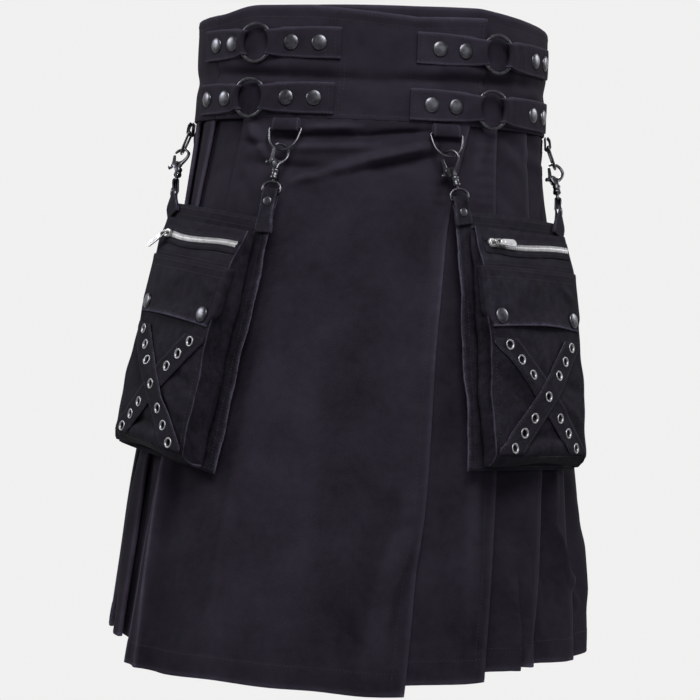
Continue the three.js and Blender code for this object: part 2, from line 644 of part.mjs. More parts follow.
// The flap's two sides fold back round the bag. Its snaps are pieces of their own.
function makeFlap(pocket, frame) {
  const lift = LIE + TWILL / 2;
  const { edge, corner } = FLAP_TUCK;
  const columns = [
    { u: -FLAP_HALF, tuck: edge },
    { u: -FLAP_HALF, tuck: corner },
    ...FLAP_COLUMNS.map((u) => ({ u, tuck: 0 })),
    { u: FLAP_HALF, tuck: corner },
    { u: FLAP_HALF, tuck: edge },
  ];
  const grid = gridOf(FLAP_ROWS, columns.length, (v, i) => {
    const { u, tuck } = columns[i];
    return frame.point(u, v, bagFront(pocket, u, v) + lift - tuck);
  });
  add("pocket_" + pocket.name + "_flap", wall(grid, TWILL), twill);
  const forward = -Math.sign(pocket.angle);
  for (const [end, side] of [["front", forward], ["rear", -forward]]) {
    const seat = onBag(pocket, frame, side * FLAP_CAP.u, FLAP_CAP.v);
    const foot = seat.at.addScaledVector(seat.z, LIE + TWILL + FLAP_CAP.foot);
    add("pocket_" + pocket.name + "_snap_" + end, cap(foot, seat.z, 0), darkMetal);
  }
}

// The crossed bands with a hole for each eyelet.
function makeCross(pocket, frame) {
  const lift = CROSS.clear + TWILL / 2;
  const lay = (u, v, more = 0) => frame.point(u, v, bagFront(pocket, u, v) + lift + more);
  const within = (u) => Math.max(-CROSS.limit, Math.min(CROSS.limit, u));
  const strip = (lean) => {
    const rows = range(7).map((i) => mixed(-CROSS.end, CROSS.end, i / 6));
    const grid = gridOf(rows, 4, (share, i) => {
      const u = share * EYELETS.u * lean + mixed(-CROSS.half, CROSS.half, i / 3);
      return lay(within(u), CROSS.middle + share * EYELETS.v);
    });
    return wall(grid, TWILL);
  };
  const arms = [-1, 1].flatMap((u) => [-1, 1].map((v) => ({ u: u * EYELETS.u, v: v * EYELETS.v })));
  const spots = arms.flatMap(({ u, v }) => EYELETS.shares.map((share) => ({ u: u * share, v: v * share })));
  const holes = [{ u: 0, v: 0 }, ...spots].map(({ u, v }) =>
    rod(lay(u, CROSS.middle + v, -4), frame.w, EYELET_HOLE, 9, 6),
  );
  add("pocket_" + pocket.name + "_cross", cut(join(strip(-1), strip(1)), ...holes), twill);
}

// Zip tape, slider with a pierced post, and a pull whose fork turns on a pin through the post.
function makeZip(pocket, frame) {
  const lift = LIE + ZIP.thick / 2;
  const grid = gridOf([ZIP.v - ZIP.tape, ZIP.v + ZIP.tape], ZIP.columns + 1, (v, i) => {
    const u = mixed(-ZIP.half, ZIP.half, i / ZIP.columns);
    return frame.point(u, v, bagFront(pocket, u, v) + lift);
  });
  add("pocket_" + pocket.name + "_zip", wall(grid, ZIP.thick), brightMetal);
  const holder = new THREE.Group();
  const seat = onBag(pocket, frame, SLIDER.u, ZIP.v);
  holder.position.copy(seat.at).addScaledVector(seat.z, LIE + ZIP.thick + SLIDER.stands);
  holder.quaternion.setFromRotationMatrix(new THREE.Matrix4().makeBasis(seat.x, seat.y, seat.z));
  holder.rotateZ(-rad(pocket.pull));
  kilt.add(holder);
  add("pocket_" + pocket.name + "_slider", sliderShape(), brightMetal, holder);
  const hinge = new THREE.Group();
  hinge.name = "hinge_pull_" + pocket.name;
  hinge.position.set(0, 0, pinHeight());
  holder.add(hinge);
  add("pocket_" + pocket.name + "_pull", pullShape(), brightMetal, hinge);
}

const pinHeight = () => SLIDER.height + POST.height / 2 - 0.2;

function sliderShape() {
  const body = new THREE.CylinderGeometry(SLIDER.radius, SLIDER.radius, SLIDER.height, 8);
  body.rotateX(Math.PI / 2).translate(0, 0, SLIDER.height / 2);
  const post = new THREE.BoxGeometry(POST.width, POST.thick, POST.height);
  post.translate(0, 0, SLIDER.height - 0.8 + POST.height / 2);
  const hole = new THREE.CylinderGeometry(POST.hole, POST.hole, 2 * POST.thick, 10);
  return cut(join(body, post), hole.translate(0, 0, pinHeight()));
}

function pullShape() {
  const ears = [-1, 1].map((s) =>
    new THREE.BoxGeometry(EAR.length, EAR.thick, EAR.height).translate(EAR.x, s * EAR.spread, 0),
  );
  const pin = new THREE.CylinderGeometry(POST.pin, POST.pin, 2 * EAR.spread + 0.7, 8);
  const blade = new THREE.Shape();
  blade.moveTo(PULL.start, -PULL.root);
  blade.lineTo(PULL.shoulder, -PULL.neck);
  blade.lineTo(PULL.end, -PULL.half);
  blade.absarc(PULL.end, 0, PULL.half, -Math.PI / 2, Math.PI / 2, false);
  blade.lineTo(PULL.shoulder, PULL.neck);
  blade.lineTo(PULL.start, PULL.root);
  return join(pin, ...ears, plate(blade, PULL.thick, 6));
}

// A flat outline made thick to both sides of its plane.
function plate(shape, thick, curveSegments = 8) {
  const flat = new THREE.ExtrudeGeometry(shape, { depth: thick, bevelEnabled: false, curveSegments });
  return flat.translate(0, 0, -thick / 2);
}

const outline = (...points) => new THREE.Shape(points.map(([x, y]) => new THREE.Vector2(x, y)));

// Cloth loops, D rings, swivel hooks and the pockets' tabs.
function makeHanger(hanger, pocket, pocketAt) {
  const level = hanger.base + LIE + LOOP_CLOTH + LOOP_CLEAR + D_WIRE;
  const frame = frameOnForm(hanger.angle, BAR_DEPTH, level);
  const hangs = (a, d) => placeIn(frame, a, d * Math.cos(rad(D_LEAN)), d * Math.sin(rad(D_LEAN)));
  add("d_ring_" + hanger.name, dRingShape(frame, hangs), darkMetal);
  add("d_loop_" + hanger.name, dLoopShape(frame), twill);

  // The hook hangs from the D ring's lowest point, in line with the pocket's rivet.
  const lowest = hangs(0, D_DROP);
  const rivet = rivetSeat(hanger, pocket, pocketAt);
  const y = rivet.at.clone().addScaledVector(rivet.normal, RIVET_AIM).sub(lowest);
  const span = y.length();
  y.normalize();
  const side = new THREE.Vector3().crossVectors(y, frame.outward).normalize();
  const face = new THREE.Vector3().crossVectors(side, y).normalize();
  const turn = rad(hanger.turn);
  const z = face.clone().multiplyScalar(Math.cos(turn)).addScaledVector(side, Math.sin(turn));
  const x = new THREE.Vector3().crossVectors(y, z);
  const swivel = new THREE.Group();
  swivel.name = "swivel_" + hanger.name;
  swivel.position.copy(lowest.clone().addScaledVector(y, WIRE_IN_JAW));
  swivel.quaternion.setFromRotationMatrix(new THREE.Matrix4().makeBasis(x, y, z));
  kilt.add(swivel);
  add("hook_" + hanger.name, hookShape(), darkMetal, swivel);
  const gate = new THREE.Group();
  gate.name = "gate_" + hanger.name;
  gate.position.set(GATE.x, GATE.y, 0);
  swivel.add(gate);
  add("trigger_" + hanger.name, triggerShape(), darkMetal, gate);
  const eye = { at: swivel.position, along: side, down: y, outward: face };
  add("eye_" + hanger.name, eyeShape(eye), darkMetal);
  const tab = tabShape(rivet, eye, span - WIRE_IN_JAW - EYE_BAR);
  add("pocket_" + pocket.name + "_tab_" + hanger.name.split("_")[1], tab, twill);
}

function dRingShape(frame, hangs) {
  const bar = [-D_HALF, 0, D_HALF].map((a) => placeIn(frame, a, 0, 0));
  const arc = range(D_STEPS).map((i) => {
    const turn = (Math.PI * (i + 0.5)) / D_STEPS;
    return hangs(D_HALF * Math.cos(turn), D_DROP * Math.sin(turn) ** D_FULLNESS);
  });
  const normal = new THREE.Vector3().crossVectors(hangs(0, 1).sub(frame.at), frame.along);
  return join(loopTube([...bar, ...arc], normal, D_WIRE, WIRE_SIDES));
}

// The loop's cloth comes down outside the bar and goes up behind it.
function dLoopShape(frame) {
  const round = D_WIRE + LOOP_CLEAR + LOOP_CLOTH / 2;
  const top = BAND_DEPTH - BAR_DEPTH + LOOP_TOP_GAP;
  const path = [
    { down: top, out: 1.6 * LOOP_CLOTH + LIE - SNUG * round },
    { down: -LOOP_STRAIGHT, out: SNUG * round },
    ...LOOP_WRAP.map(rad).map((turn) => ({ down: round * Math.cos(turn), out: round * Math.sin(turn) })),
    { down: -LOOP_STRAIGHT, out: -SNUG * round },
    { down: top, out: -SNUG * round },
  ];
  const grid = gridOf([1, 0, -1], path.length, (side, i) =>
    placeIn(frame, (side * LOOP_WIDTH) / 2, path[i].down, path[i].out),
  );
  return wall(grid, LOOP_CLOTH);
}

// The hook's jaw, neck and barrel, with two cheeks and a pin that carry the trigger.
function hookShape() {
  const from = rad(JAW_OPENING.from);
  const to = rad(JAW_OPENING.from + JAW_OPENING.sweep);
  const jaw = new THREE.Shape();
  jaw.absarc(0, 0, JAW_OUTER, from, to, false);
  jaw.absarc(0, 0, JAW_RADIUS, to, from, true);
  const neck = outline(
    [-JAW_OUTER, 0],
    [-JAW_RADIUS, 0],
    [-3.2, JAW_RADIUS],
    [NECK_HALF, 8.6],
    [NECK_HALF, BARREL_START + 1],
    [-NECK_HALF, BARREL_START + 1],
  );
  const lug = new THREE.BoxGeometry(LUG.width, LUG.length, JAW_THICK).translate(LUG.x, LUG.y, 0);
  const length = BARREL_END - BARREL_START;
  const barrel = new THREE.CylinderGeometry(BARREL_RADIUS, BARREL_RADIUS, length, 8);
  barrel.translate(0, BARREL_START + length / 2, 0);
  const bored = POST_RADIUS + BARREL_BORE.play;
  const bore = new THREE.CylinderGeometry(bored, bored, 2 * BARREL_BORE.depth, 8).translate(0, BARREL_END, 0);
  const pin = new THREE.CylinderGeometry(GATE.pin, GATE.pin, JAW_THICK + 1.6, 6).rotateX(Math.PI / 2);
  const cheeks = [-1, 1].map((s) =>
    new THREE.BoxGeometry(CHEEK.width, CHEEK.length, CHEEK.thick).translate(
      CHEEK.x,
      GATE.y + CHEEK.beyond,
      s * (JAW_THICK / 2 + CHEEK.spread),
    ),
  );
  const solid = join(
    plate(jaw, JAW_THICK),
    plate(neck, JAW_THICK),
    lug,
    barrel,
    pin.translate(GATE.x, GATE.y, 0),
    ...cheeks,
  );
  return cut(solid, bore);
}

// The spring trigger: a bar that closes the jaw, with a thumb knob below its pivot.
function triggerShape() {
  const bar = outline(
    [-1.6, -1.6],
    [-0.2, -GATE.reach],
    [2.2, -GATE.reach],
    [2.1, -1.6],
    [3.6, 3.6],
    [2.2, 4.2],
    [-0.4, 1.8],
  );
  const knob = new THREE.CylinderGeometry(KNOB.radius, KNOB.radius, KNOB.length, 8).rotateZ(Math.PI / 2);
  const hole = new THREE.CylinderGeometry(GATE.hole, GATE.hole, 2 * JAW_THICK, 10).rotateX(Math.PI / 2);
  return cut(join(plate(bar, JAW_THICK - GATE.slack), knob.translate(KNOB.x, KNOB.y, 0)), hole);
}

// The swivel's eye: a D loop round the tab's cloth with a post that turns in the barrel.
function eyeShape(eye) {
  const top = BARREL_END + EYE_TOP;
  const shoulder = EYE_HALF * EYE_SHOULDER;
  const corners = [
    [-EYE_HALF, EYE_BAR],
    [0, EYE_BAR],
    [EYE_HALF, EYE_BAR],
    [EYE_HALF, EYE_BAR - EYE_CORNER],
    [shoulder, top + 1],
    [0, top],
    [-shoulder, top + 1],
    [-EYE_HALF, EYE_BAR - EYE_CORNER],
  ];
  const start = BARREL_END - POST_IN_BARREL;
  const post = rod(placeIn(eye, 0, start, 0), eye.down, POST_RADIUS, top - start);
  const loop = corners.map(([a, d]) => placeIn(eye, a, d, 0));
  return join(loopTube(loop, eye.outward, EYE_WIRE, WIRE_SIDES), post);
}

// Where a tab is riveted: on the back panel's upper corner, with the panel's own normal there.
function rivetSeat(hanger, pocket, pocketAt) {
  const forward = -Math.sign(pocket.angle);
  const u = (hanger.name.endsWith("front") ? forward : -forward) * RIVET_U;
  const normal = pocketAt.w.clone().addScaledVector(pocketAt.u, 2 * BACK_CURVE * u).normalize();
  return { at: pocketAt.point(u, RIVET_V, backLevel(u)).addScaledVector(normal, TWILL / 2), normal };
}

// A tab goes from its rivet up round the eye's bar and down behind.
function tabShape(rivet, eye, length) {
  const up = eye.down.clone().negate();
  up.addScaledVector(rivet.normal, -up.dot(rivet.normal)).normalize();
  const width = new THREE.Vector3().crossVectors(up, rivet.normal).normalize();
  const round = EYE_WIRE + LOOP_CLEAR + TWILL / 2;
  const lower = LIE + TWILL / 2;
  const upper = lower + TWILL + LIE;
  const straight = Math.min(TAB_STRAIGHT, length / 3);
  const barWidth = eye.along.clone().multiplyScalar(Math.sign(eye.along.dot(width)));
  const atBar = (down, out) => ({ middle: placeIn(eye, 0, EYE_BAR + down, out), width: barWidth });
  const onPanel = (rise, level) => ({
    middle: rivet.at.clone().addScaledVector(up, rise).addScaledVector(rivet.normal, level),
    width,
  });
  const path = [
    onPanel(-TAB_END, upper),
    onPanel(0, upper),
    onPanel(RIVET_RISE, upper),
    atBar(straight, SNUG * round),
    ...TAB_WRAP.map(rad).map((turn) => atBar(round * Math.cos(turn), round * Math.sin(turn))),
    atBar(straight, -SNUG * round),
    onPanel(RIVET_RISE, lower),
    onPanel(0, lower),
    onPanel(-TAB_END, lower),
  ];
  const grid = gridOf([-1, 1], path.length, (side, i) =>
    path[i].middle.clone().addScaledVector(path[i].width, side * TAB_HALF),
  );
  const head = cap(onPanel(0, upper + TWILL / 2).middle, rivet.normal, CAP_SINKS, RIVET);
  return join(wall(grid, TWILL), head);
}

makeWaistband();
makeAprons();
makePleats();
makeStraps();
for (const pocket of POCKETS) {
  const frame = pocketFrame(pocket);
  makeBack(pocket, frame);
  makeBag(pocket, frame);
  makeFlap(pocket, frame);
  makeCross(pocket, frame);
  makeZip(pocket, frame);
  const own = HANGERS.filter((hanger) => hanger.name.startsWith(pocket.name));
  own.forEach((hanger) => makeHanger(hanger, pocket, frame));
}

export default kilt;
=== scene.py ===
"""A utility kilt in black cotton twill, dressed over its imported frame.

Lengths are millimetres and angles degrees until a mesh is made. Angles go round the waist from the front
middle, plus towards +X, and depths go down from the waist's front edge.
"""

import math

import bpy
import numpy as np
from mathutils import Matrix, Vector


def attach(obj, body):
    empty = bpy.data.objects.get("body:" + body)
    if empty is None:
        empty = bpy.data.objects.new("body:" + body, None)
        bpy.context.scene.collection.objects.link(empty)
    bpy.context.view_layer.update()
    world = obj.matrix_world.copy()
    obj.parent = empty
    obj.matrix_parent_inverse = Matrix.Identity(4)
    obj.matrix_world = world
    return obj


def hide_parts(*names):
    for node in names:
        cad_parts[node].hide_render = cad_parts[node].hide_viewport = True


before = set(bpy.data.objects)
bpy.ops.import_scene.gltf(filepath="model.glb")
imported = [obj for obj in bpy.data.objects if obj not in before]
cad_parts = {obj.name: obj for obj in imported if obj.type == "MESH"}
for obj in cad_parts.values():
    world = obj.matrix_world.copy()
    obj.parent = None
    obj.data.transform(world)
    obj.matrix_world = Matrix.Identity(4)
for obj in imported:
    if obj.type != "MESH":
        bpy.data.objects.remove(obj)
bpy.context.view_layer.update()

MM = 0.001
RAD = math.pi / 180

# Camera: the garment stands upright here and the camera is rolled, as the photograph is.
EYE, TARGET = Vector((-59.7, -1899.3, -240.0)), Vector((-10.0, 0.0, -316.0))
ROLL, FOCAL_PIXELS, IMAGE_PIXELS, SENSOR = 2.4, 1949.0, 700, 36.0
FLOOR = {"depth": 2200.0, "radius": 6500.0}
PALE = (0.876, 0.876, 0.872)

# The form of the cloth, repeated from the part's source.
FORM = {
    "depth": [0, 110, 200, 300, 450, 610],
    "half_width": [167, 168, 178, 196, 217, 235],
    "half_depth": [128, 130, 144, 160, 182, 200],
}
EASE = 22.0  # the form's bends are eased over this far up and down
WAIST_EDGE = {
    "depth": [-40, -20, 12, 34, 60, 90, 180, 270, 300],
    "under": [0, 0, -2, -5, 1, 7, 3, 8, 6],
    "over": [0, 1, 8, 4, 4, 4, 4, 4, 6],
}
APRON_EDGES = {
    "depth": [102, 150, 200, 300, 430, 500, 610],
    "over_left": [-44, -46.5, -48.5, -52, -57, -61.5, -62.5],
    "over_right": [31, 26, 22, 18.2, 15.6, 13.3, 10.6],
    "under_right": [43, 41.5, 40.5, 38, 35, 33, 29.6],
}
FOLDS = {
    "depth": [102, 190, 420, 540, 594],
    "first": [60, 59, 53, 47.5, 44.5],
    "second": [76, 72, 65, 65, 64],
    "last": [298.4, 293, 291, 290, 290],
}
BAND_DEPTH = 102.0
OVER_HEM, UNDER_HEM, PLEAT_HEM, HEM_TURN, HEM_STITCH = 610.0, 601.0, 594.0, 22.0, 20.0
OVER_LEVEL, OVER_START, OVER_FULL, OVER_END = 3.0, -60.0, -38.0, 36.0
UNDER_START, UNDER_LEFT = -32.0, -25.0
OVER_EDGE_LEFT, OVER_EDGE_RISE = 6.0, 20.0
LAP_LEVEL_FROM, APRON_FLARE, APRON_SEED = -44.0, 3.0, 0.4
LAP = {"line": -55.0, "from": 330.0, "over": 150.0, "curl": 4.6, "ridge": 2.4}
SEAM, LIE = 0.3, 0.45
TWILL, FOLDED = 1.2, 2.4
PLEATS, STITCHED_TO, UNDERLAY, FOLD_GAP, TURN_BACK = 16, 190.0, 7.5, 2.4, 3.4
LOW_FACE = {"past": 1.6, "level": 5.2}
PLEAT_OPENING = {"more": 0.5, "over": 400.0}
PLEAT_SWING = {"degrees": 0.9, "per_fold": 2.3, "per_depth": 95.0, "over": 200.0}
PLEAT_TUCK = {"until": 106.0, "behind": 2.7, "pressed": 0.72}
TUCK_DEPTHS = [90.0, 94.0, 98.0, 101.0, 102.3, 103.5, 105.0, 107.0]
FOLD_EASE = 0.45  # a fold's outer edge begins this many degrees before its line
FOLD_BEND = {"fold": 2, "depth": 546.0, "over": 34.0, "degrees": 2.2}
FACE_SHARES = [0.0, 0.12, 0.26, 0.42, 0.58, 0.74, 0.87, 0.95]
FINE_SHARES = [0.0, 0.08, 0.16, 0.24, 0.32, 0.4, 0.47, 0.54, 0.61, 0.68, 0.74, 0.8, 0.86, 0.91, 0.96]
FINE_PLEATS = (1, 2, 3)

RING_RADIUS, RING_WIRE = 17.25, 1.75
STRAP_HALF, STRAP_LOOP_HALF, STRAP_CLOTH, LOOP_CLEAR, STRAP_LIFTS = 14.0, 11.0, 1.2, 0.75, 9.5
CAP, CAP_SINKS = {"radius": 7.2, "height": 2.6}, 0.35
RIVET = {"radius": 4.2, "height": 1.5}
STRAPS = {
    "upper_left": {"depth": 34, "ring": -39, "front": (-11, -17.5, -26.5), "rear": (-68, -50, -59.5)},
    "lower_left": {"depth": 84, "ring": -40.5, "front": (-12.5, -18.5, -27.5), "rear": (-71, -53, -64.5)},
    "upper_right": {"depth": 35, "ring": 39.5, "front": (12, 19, 27.5), "rear": (77, 61.5, 71)},
    "lower_right": {"depth": 86, "ring": 38, "front": (10.5, 17, 25), "rear": (77, 61, 71)},
}

LOOP_WIDTH, LOOP_CLOTH, LOOP_TOP_GAP, LOOP_STRAIGHT, SNUG = 26.0, 1.2, 0.7, 4.0, 0.9
BAR_DEPTH, D_HALF, D_DROP, D_LEAN, D_WIRE, D_STEPS, D_FULLNESS = 112.0, 15.0, 22.0, 16.0, 1.2, 9, 0.8
JAW_MIDDLE, WIRE_IN_JAW, BARREL_END, BARREL_RADIUS = 8.25, 3.0, 25.5, 3.7
GATE = {"x": 6.1, "y": 9.2, "reach": 11.4}
EYE_BAR, EYE_HALF, EYE_WIRE, EYE_TOP = 37.0, 8.5, 1.3, 2.2
HANGERS = {
    "right_front": {"angle": 22, "base": 4.4, "turn": 45},
    "right_rear": {"angle": 86, "base": 1.6, "turn": 60},
    "left_front": {"angle": -27, "base": 4.4, "turn": -45},
    "left_rear": {"angle": -91, "base": 1.6, "turn": -64},
}

BACK_HALF, BACK_TOP, BACK_BOTTOM, BACK_CURVE = 75.0, -14.0, 219.0, 0.0014
BAG_HALF, BAG_BOTTOM, BAG_CLOTH, BAG_EASE, BAG_CLOSING = 66.0, 215.0, 1.4, 5.0, 0.04
POCKETS = {
    "right": {
        "angle": 48, "facing": 45, "top": 198, "stand": 6, "roll": 2, "over": -1,
        "depth": 16, "bulge": 8.5, "wedge": 0, "pull": 0,
    },
    "left": {
        "angle": -51, "facing": -49, "top": 203, "stand": 8, "roll": 6, "over": 1,
        "depth": 17, "bulge": 8, "wedge": 10, "pull": 145,
    },
}
BAG_SEAMS = [
    (-60, 25, 60, 25), (-60, 34, 60, 34), (-60.5, 96, -60.5, 208), (60.5, 96, 60.5, 208),
    (-58, 9, 58, 9), (-58, 22, 58, 22), (-60, 208, 60, 208),
]
BAG_PROFILE = {
    "depth": [0, 16, 36, 92, 150, 207, 212.5, 215],
    "share": [0.35, 0.55, 0.8, 1, 1, 0.95, 0.75, 0.45],
    "swell": [0, 0.2, 0.5, 0.85, 1, 0.75, 0.4, 0.05],
}
FLAP_TOP, FLAP_BOTTOM, FLAP_HALF = 37.0, 92.0, 68.2
FLAP_CAP = {"u": 52.0, "v": 82.0}
CROSS = {"half": 16.0, "middle": 154.5, "end": 1.12, "limit": 62.0, "clear": 0.65}
EYELETS = {"u": 45.0, "v": 46.5, "shares": [0.42, 0.71, 1.0], "hole": 3.4}
EYELET_SHAPE = [
    (3.1, -1.9), (3.35, -1.9), (3.5, -0.1), (4.75, -0.05), (4.95, 0.2),
    (4.8, 0.6), (4.4, 0.88), (3.9, 0.84), (3.45, 0.45), (3.15, -0.1),
]
ZIP = {"v": 16.0, "half": 56.0, "thick": 1.4, "end": 63.0, "pitch": 1.35}
TOOTH = [(-0.45, -2.4), (0.45, -2.4), (0.62, 0.9), (0.3, 1.3), (-0.3, 1.3), (-0.62, 0.9)]
SLIDER_U, SLIDER_STANDS = -50.0, 0.5
TAB_HALF, TAB_END, RIVET_U, RIVET_V, RIVET_RISE, RIVET_AIM, RIVET_BELOW = 7.0, 5.0, 69.0, -7.0, 9.0, 3.6, 8.0

STITCH_PITCH, STITCH_HALF, THREAD = 3.3, 1.25, 0.3
RIM_ROUND = 0.7  # how far a cloth's edge is rounded out, as a share of half its thickness

LIGHTS_AIM = Vector((0, 0, -300))
# Each light: its name, place, size, power and colour.
LIGHTS = [
    ("key", (40, -1150, 880), 900, 84, (1.0, 0.99, 0.97)),
    ("fill", (1500, -1700, 300), 900, 12, (0.96, 0.98, 1.0)),
    ("left_rim", (-1900, 300, 500), 600, 45, (0.95, 0.97, 1.0)),
    ("right_rim", (1800, 700, 500), 600, 24, (0.95, 0.97, 1.0)),
    ("back", (200, 2200, 800), 900, 90, (1.0, 0.99, 0.98)),
]

# Soft creases: each is a line from one angle and depth to another, its half width and its height, minus for
# a trough. All heights are raised by one strength.
CREASE_STRENGTH = 1.6
APRON_CREASES = [
    (-21, 111, -4, 108, 3.0, 2.2),
    (-31, 121, -1, 117, 4.0, -4.2),
    (-3, 117, 17, 110, 3.6, -3.8),
    (-28, 130, 2, 126, 4.6, 2.6),
    (-24, 160, -4, 142, 5.0, 4.0),
    (-6, 142, 19, 122, 4.4, 4.2),
    (-5, 151, 21, 132, 4.6, -3.4),
    (-40, 144, -9, 151, 5.6, -2.6),
    (-41, 108, -33, 138, 4.6, 2.2),
    (-44, 124, -30, 128, 3.6, -2.0),
    (20, 118, 22, 176, 6.0, -2.2),
    (12.5, 430, 10.8, 463, 9, 2.4),
    (10.8, 463, 5.5, 524, 9, 2.8),
    (5.5, 524, 3.0, 600, 11, 2.2),
    (14.5, 480, 8.5, 560, 9, -2.2),
    (-52, 300, -55.5, 600, 12, 2.0),
    (-48, 380, -50, 608, 15, -2.6),
    (-36, 330, -38, 608, 20, 1.5),
    (-14, 300, -17, 600, 26, 1.8),
    (-2, 260, -4, 560, 24, -1.6),
    (-34, 230, -41, 600, 22, -4.4),
    (-27, 250, -30, 600, 22, 2.2),
    (22, 190, 14, 330, 11, 1.6),
    (16, 210, 9, 380, 12, -1.2),
    (-40, 108, -30, 150, 7, 1.2),
    (-46, 150, -34, 190, 8, -1.2),
]
UNDER_CREASES = [
    (36, 112, 33, 150, 6, 1.3),
    (30, 330, 26, 560, 10, 1.6),
    (24, 300, 21, 590, 11, -1.5),
    (33, 400, 30.5, 500, 8, -1.2),
]
PLEAT_CREASES = [
    (44, 112, 56, 142, 6, 1.9),
    (48, 108, 62, 134, 6, -1.8),
    (55, 122, 74, 134, 7, 1.9),
    (62, 118, 92, 131, 7, -1.5),
    (43, 150, 52, 178, 8, -1.3),
    (86, 112, 87, 186, 9, -2.2),
    (60, 410, 57.5, 466, 5, 2.4),
    (57.5, 466, 63, 510, 5, 3.4),
    (63, 510, 72, 546, 5, 4.0),
    (72, 546, 64, 592, 5, 3.4),
    (54, 440, 58, 560, 9, -3.0),
    (82, 470, 84, 560, 24, 3.4),
    (84, 596, 96, 600, 20, -3.5),
    (41.7, 505, 41.2, 690, 5.0, -5.2),
    (44.6, 515, 43.4, 690, 3.6, 2.4),
    (41, 500, 39.5, 592, 4, 2.2),
    (39.3, 520, 38.7, 690, 3.4, 2.4),
    (53, 480, 56, 592, 9, -2.6),
    (40, 520, 41, 592, 7, 1.8),
    (-65, 400, -69, 592, 10, -0.5),
    (-76, 400, -80, 592, 11, 2.6),
    (100, 112, 128, 136, 7, 1.8),
    (118, 128, 158, 120, 7, -1.5),
    (172, 116, 205, 132, 8, 1.7),
    (214, 134, 250, 118, 7, -1.6),
    (262, 112, 284, 140, 6, 1.7),
    (108, 300, 113, 590, 14, 2.2),
    (136, 260, 131, 590, 16, -2.4),
    (165, 330, 168, 592, 15, 2.0),
    (196, 280, 190, 592, 17, -2.2),
    (226, 310, 231, 592, 14, 2.3),
    (254, 300, 251, 592, 15, -2.0),
]
BAND_CREASES = [
    (-62, 60, -24, 65, 6, -3.2),
    (-66, 72, -46, 69, 5, 1.6),
    (-26, 65, 2, 67, 6, -3.0),
    (0, 67, 34, 62, 6, -3.2),
    (30, 62, 66, 57, 6, -3.2),
    (50, 67, 72, 64, 5, 1.5),
    (60, 59, 100, 64, 9, -1.3),
    (-56, 52, -14, 55, 6, 1.7),
    (8, 54, 58, 50, 6, 1.6),
    (-8, 22, 10, 44, 10, 0.7),
    (-10, 12, 24, 21, 5, -0.7),
    (48, 20, 55, 96, 7, 0.9),
    (84, 14, 110, 60, 10, 1.0),
    (120, 70, 180, 62, 11, -1.3),
    (180, 62, 250, 70, 11, -1.2),
    (206, 12, 222, 48, 10, 0.9),
    (250, 68, 300, 60, 9, -1.6),
]
# The same for the pockets, from one (u, v) to another.
BAG_CREASES = [
    (-60, 112, -14, 148, 5, 2.2),
    (-58, 128, -22, 160, 6, -2.0),
    (18, 158, 60, 176, 5, 2.0),
    (30, 140, 60, 150, 6, -1.8),
    (-34, 203, 36, 199, 6, 1.9),
    (-44, 192, 20, 190, 6, -1.9),
    (-6, 100, 4, 134, 6, 1.8),
    (-62, 180, -48, 210, 7, 1.2),
    (50, 186, 62, 212, 7, -1.1),
]
FLAP_CREASES = [
    (-52, 44, -36, 88, 5, 1.7),
    (-18, 58, 10, 50, 6, 1.1),
    (34, 50, 58, 64, 5, 1.3),
    (-40, 48, -8, 74, 9, 0.9),
    (24, 44, 46, 76, 8, -0.9),
    (-58, 52, -50, 86, 6, -0.8),
]


def smooth(x):
    x = np.clip(x, 0.0, 1.0)
    return x * x * (3 - 2 * x)


def mix(a, b, share):
    return a + (b - a) * share


def bell(x, width):
    return np.exp(-((x / width) ** 2))


def unit(v):
    return v / np.maximum(np.linalg.norm(v, axis=-1, keepdims=True), 1e-9)


def read(table, column, value):
    return np.interp(value, table["depth"], table[column])


def eased_read(table, column, value, ease):
    """A column with its bends eased over so far up and down."""
    steps = ((-1, 0.25), (0, 0.5), (1, 0.25))
    return sum(share * read(table, column, value + step * ease) for step, share in steps)


def soft_read(table, column, value):
    low, high = table["depth"][0], table["depth"][-1]
    return eased_read(table, column, value, np.clip(np.minimum(value - low, high - value), 0, EASE))


def on_form(angle, depth, out=0.0, look=soft_read):
    angle, depth, out = np.broadcast_arrays(*(np.asarray(x, float) for x in (angle, depth, out)))
    x = (look(FORM, "half_width", depth) + out) * np.sin(angle * RAD)
    y = -(look(FORM, "half_depth", depth) + out) * np.cos(angle * RAD)
    return np.stack([x, y, -depth], axis=-1)


def place_frame(angle, depth, out):
    """The form's directions at a place, as the part's source has them: where, along, down and outward."""
    along = unit(on_form(angle + 1, depth, out, read) - on_form(angle - 1, depth, out, read))
    down = unit(on_form(angle, depth + 20, out, read) - on_form(angle, depth - 5, out, read))
    outward = unit(np.cross(down, along))
    return on_form(angle, depth, out, read), along, unit(np.cross(along, outward)), outward


def put(place, a, b, c=0.0):
    """A point in a place's own three directions."""
    at, x, y, z = place
    return at + x * a + y * b + z * c


def degree_at(angle, depth):
    """Millimetres of waist for each degree, at a place."""
    wide, deep = read(FORM, "half_width", depth), read(FORM, "half_depth", depth)
    return RAD * np.hypot(wide * np.cos(angle * RAD), deep * np.sin(angle * RAD))


def creased(angle, depth, table, per_degree=1.0):
    """How far creases raise each place. Without per_degree, the two coordinates are millimetres."""
    total = np.zeros(np.broadcast(angle, depth).shape)
    for a0, d0, a1, d1, width, height in table:
        across, down = (angle - a0) * per_degree, depth - d0
        run, fall = (a1 - a0) * per_degree, d1 - d0
        share = np.clip((across * run + down * fall) / (run * run + fall * fall), 0, 1)
        away = np.hypot(across - share * run, down - share * fall)
        ends = 0.35 + 0.65 * smooth(np.minimum(share, 1 - share) / 0.3)
        total += CREASE_STRENGTH * height * ends * bell(away, width)
    return total


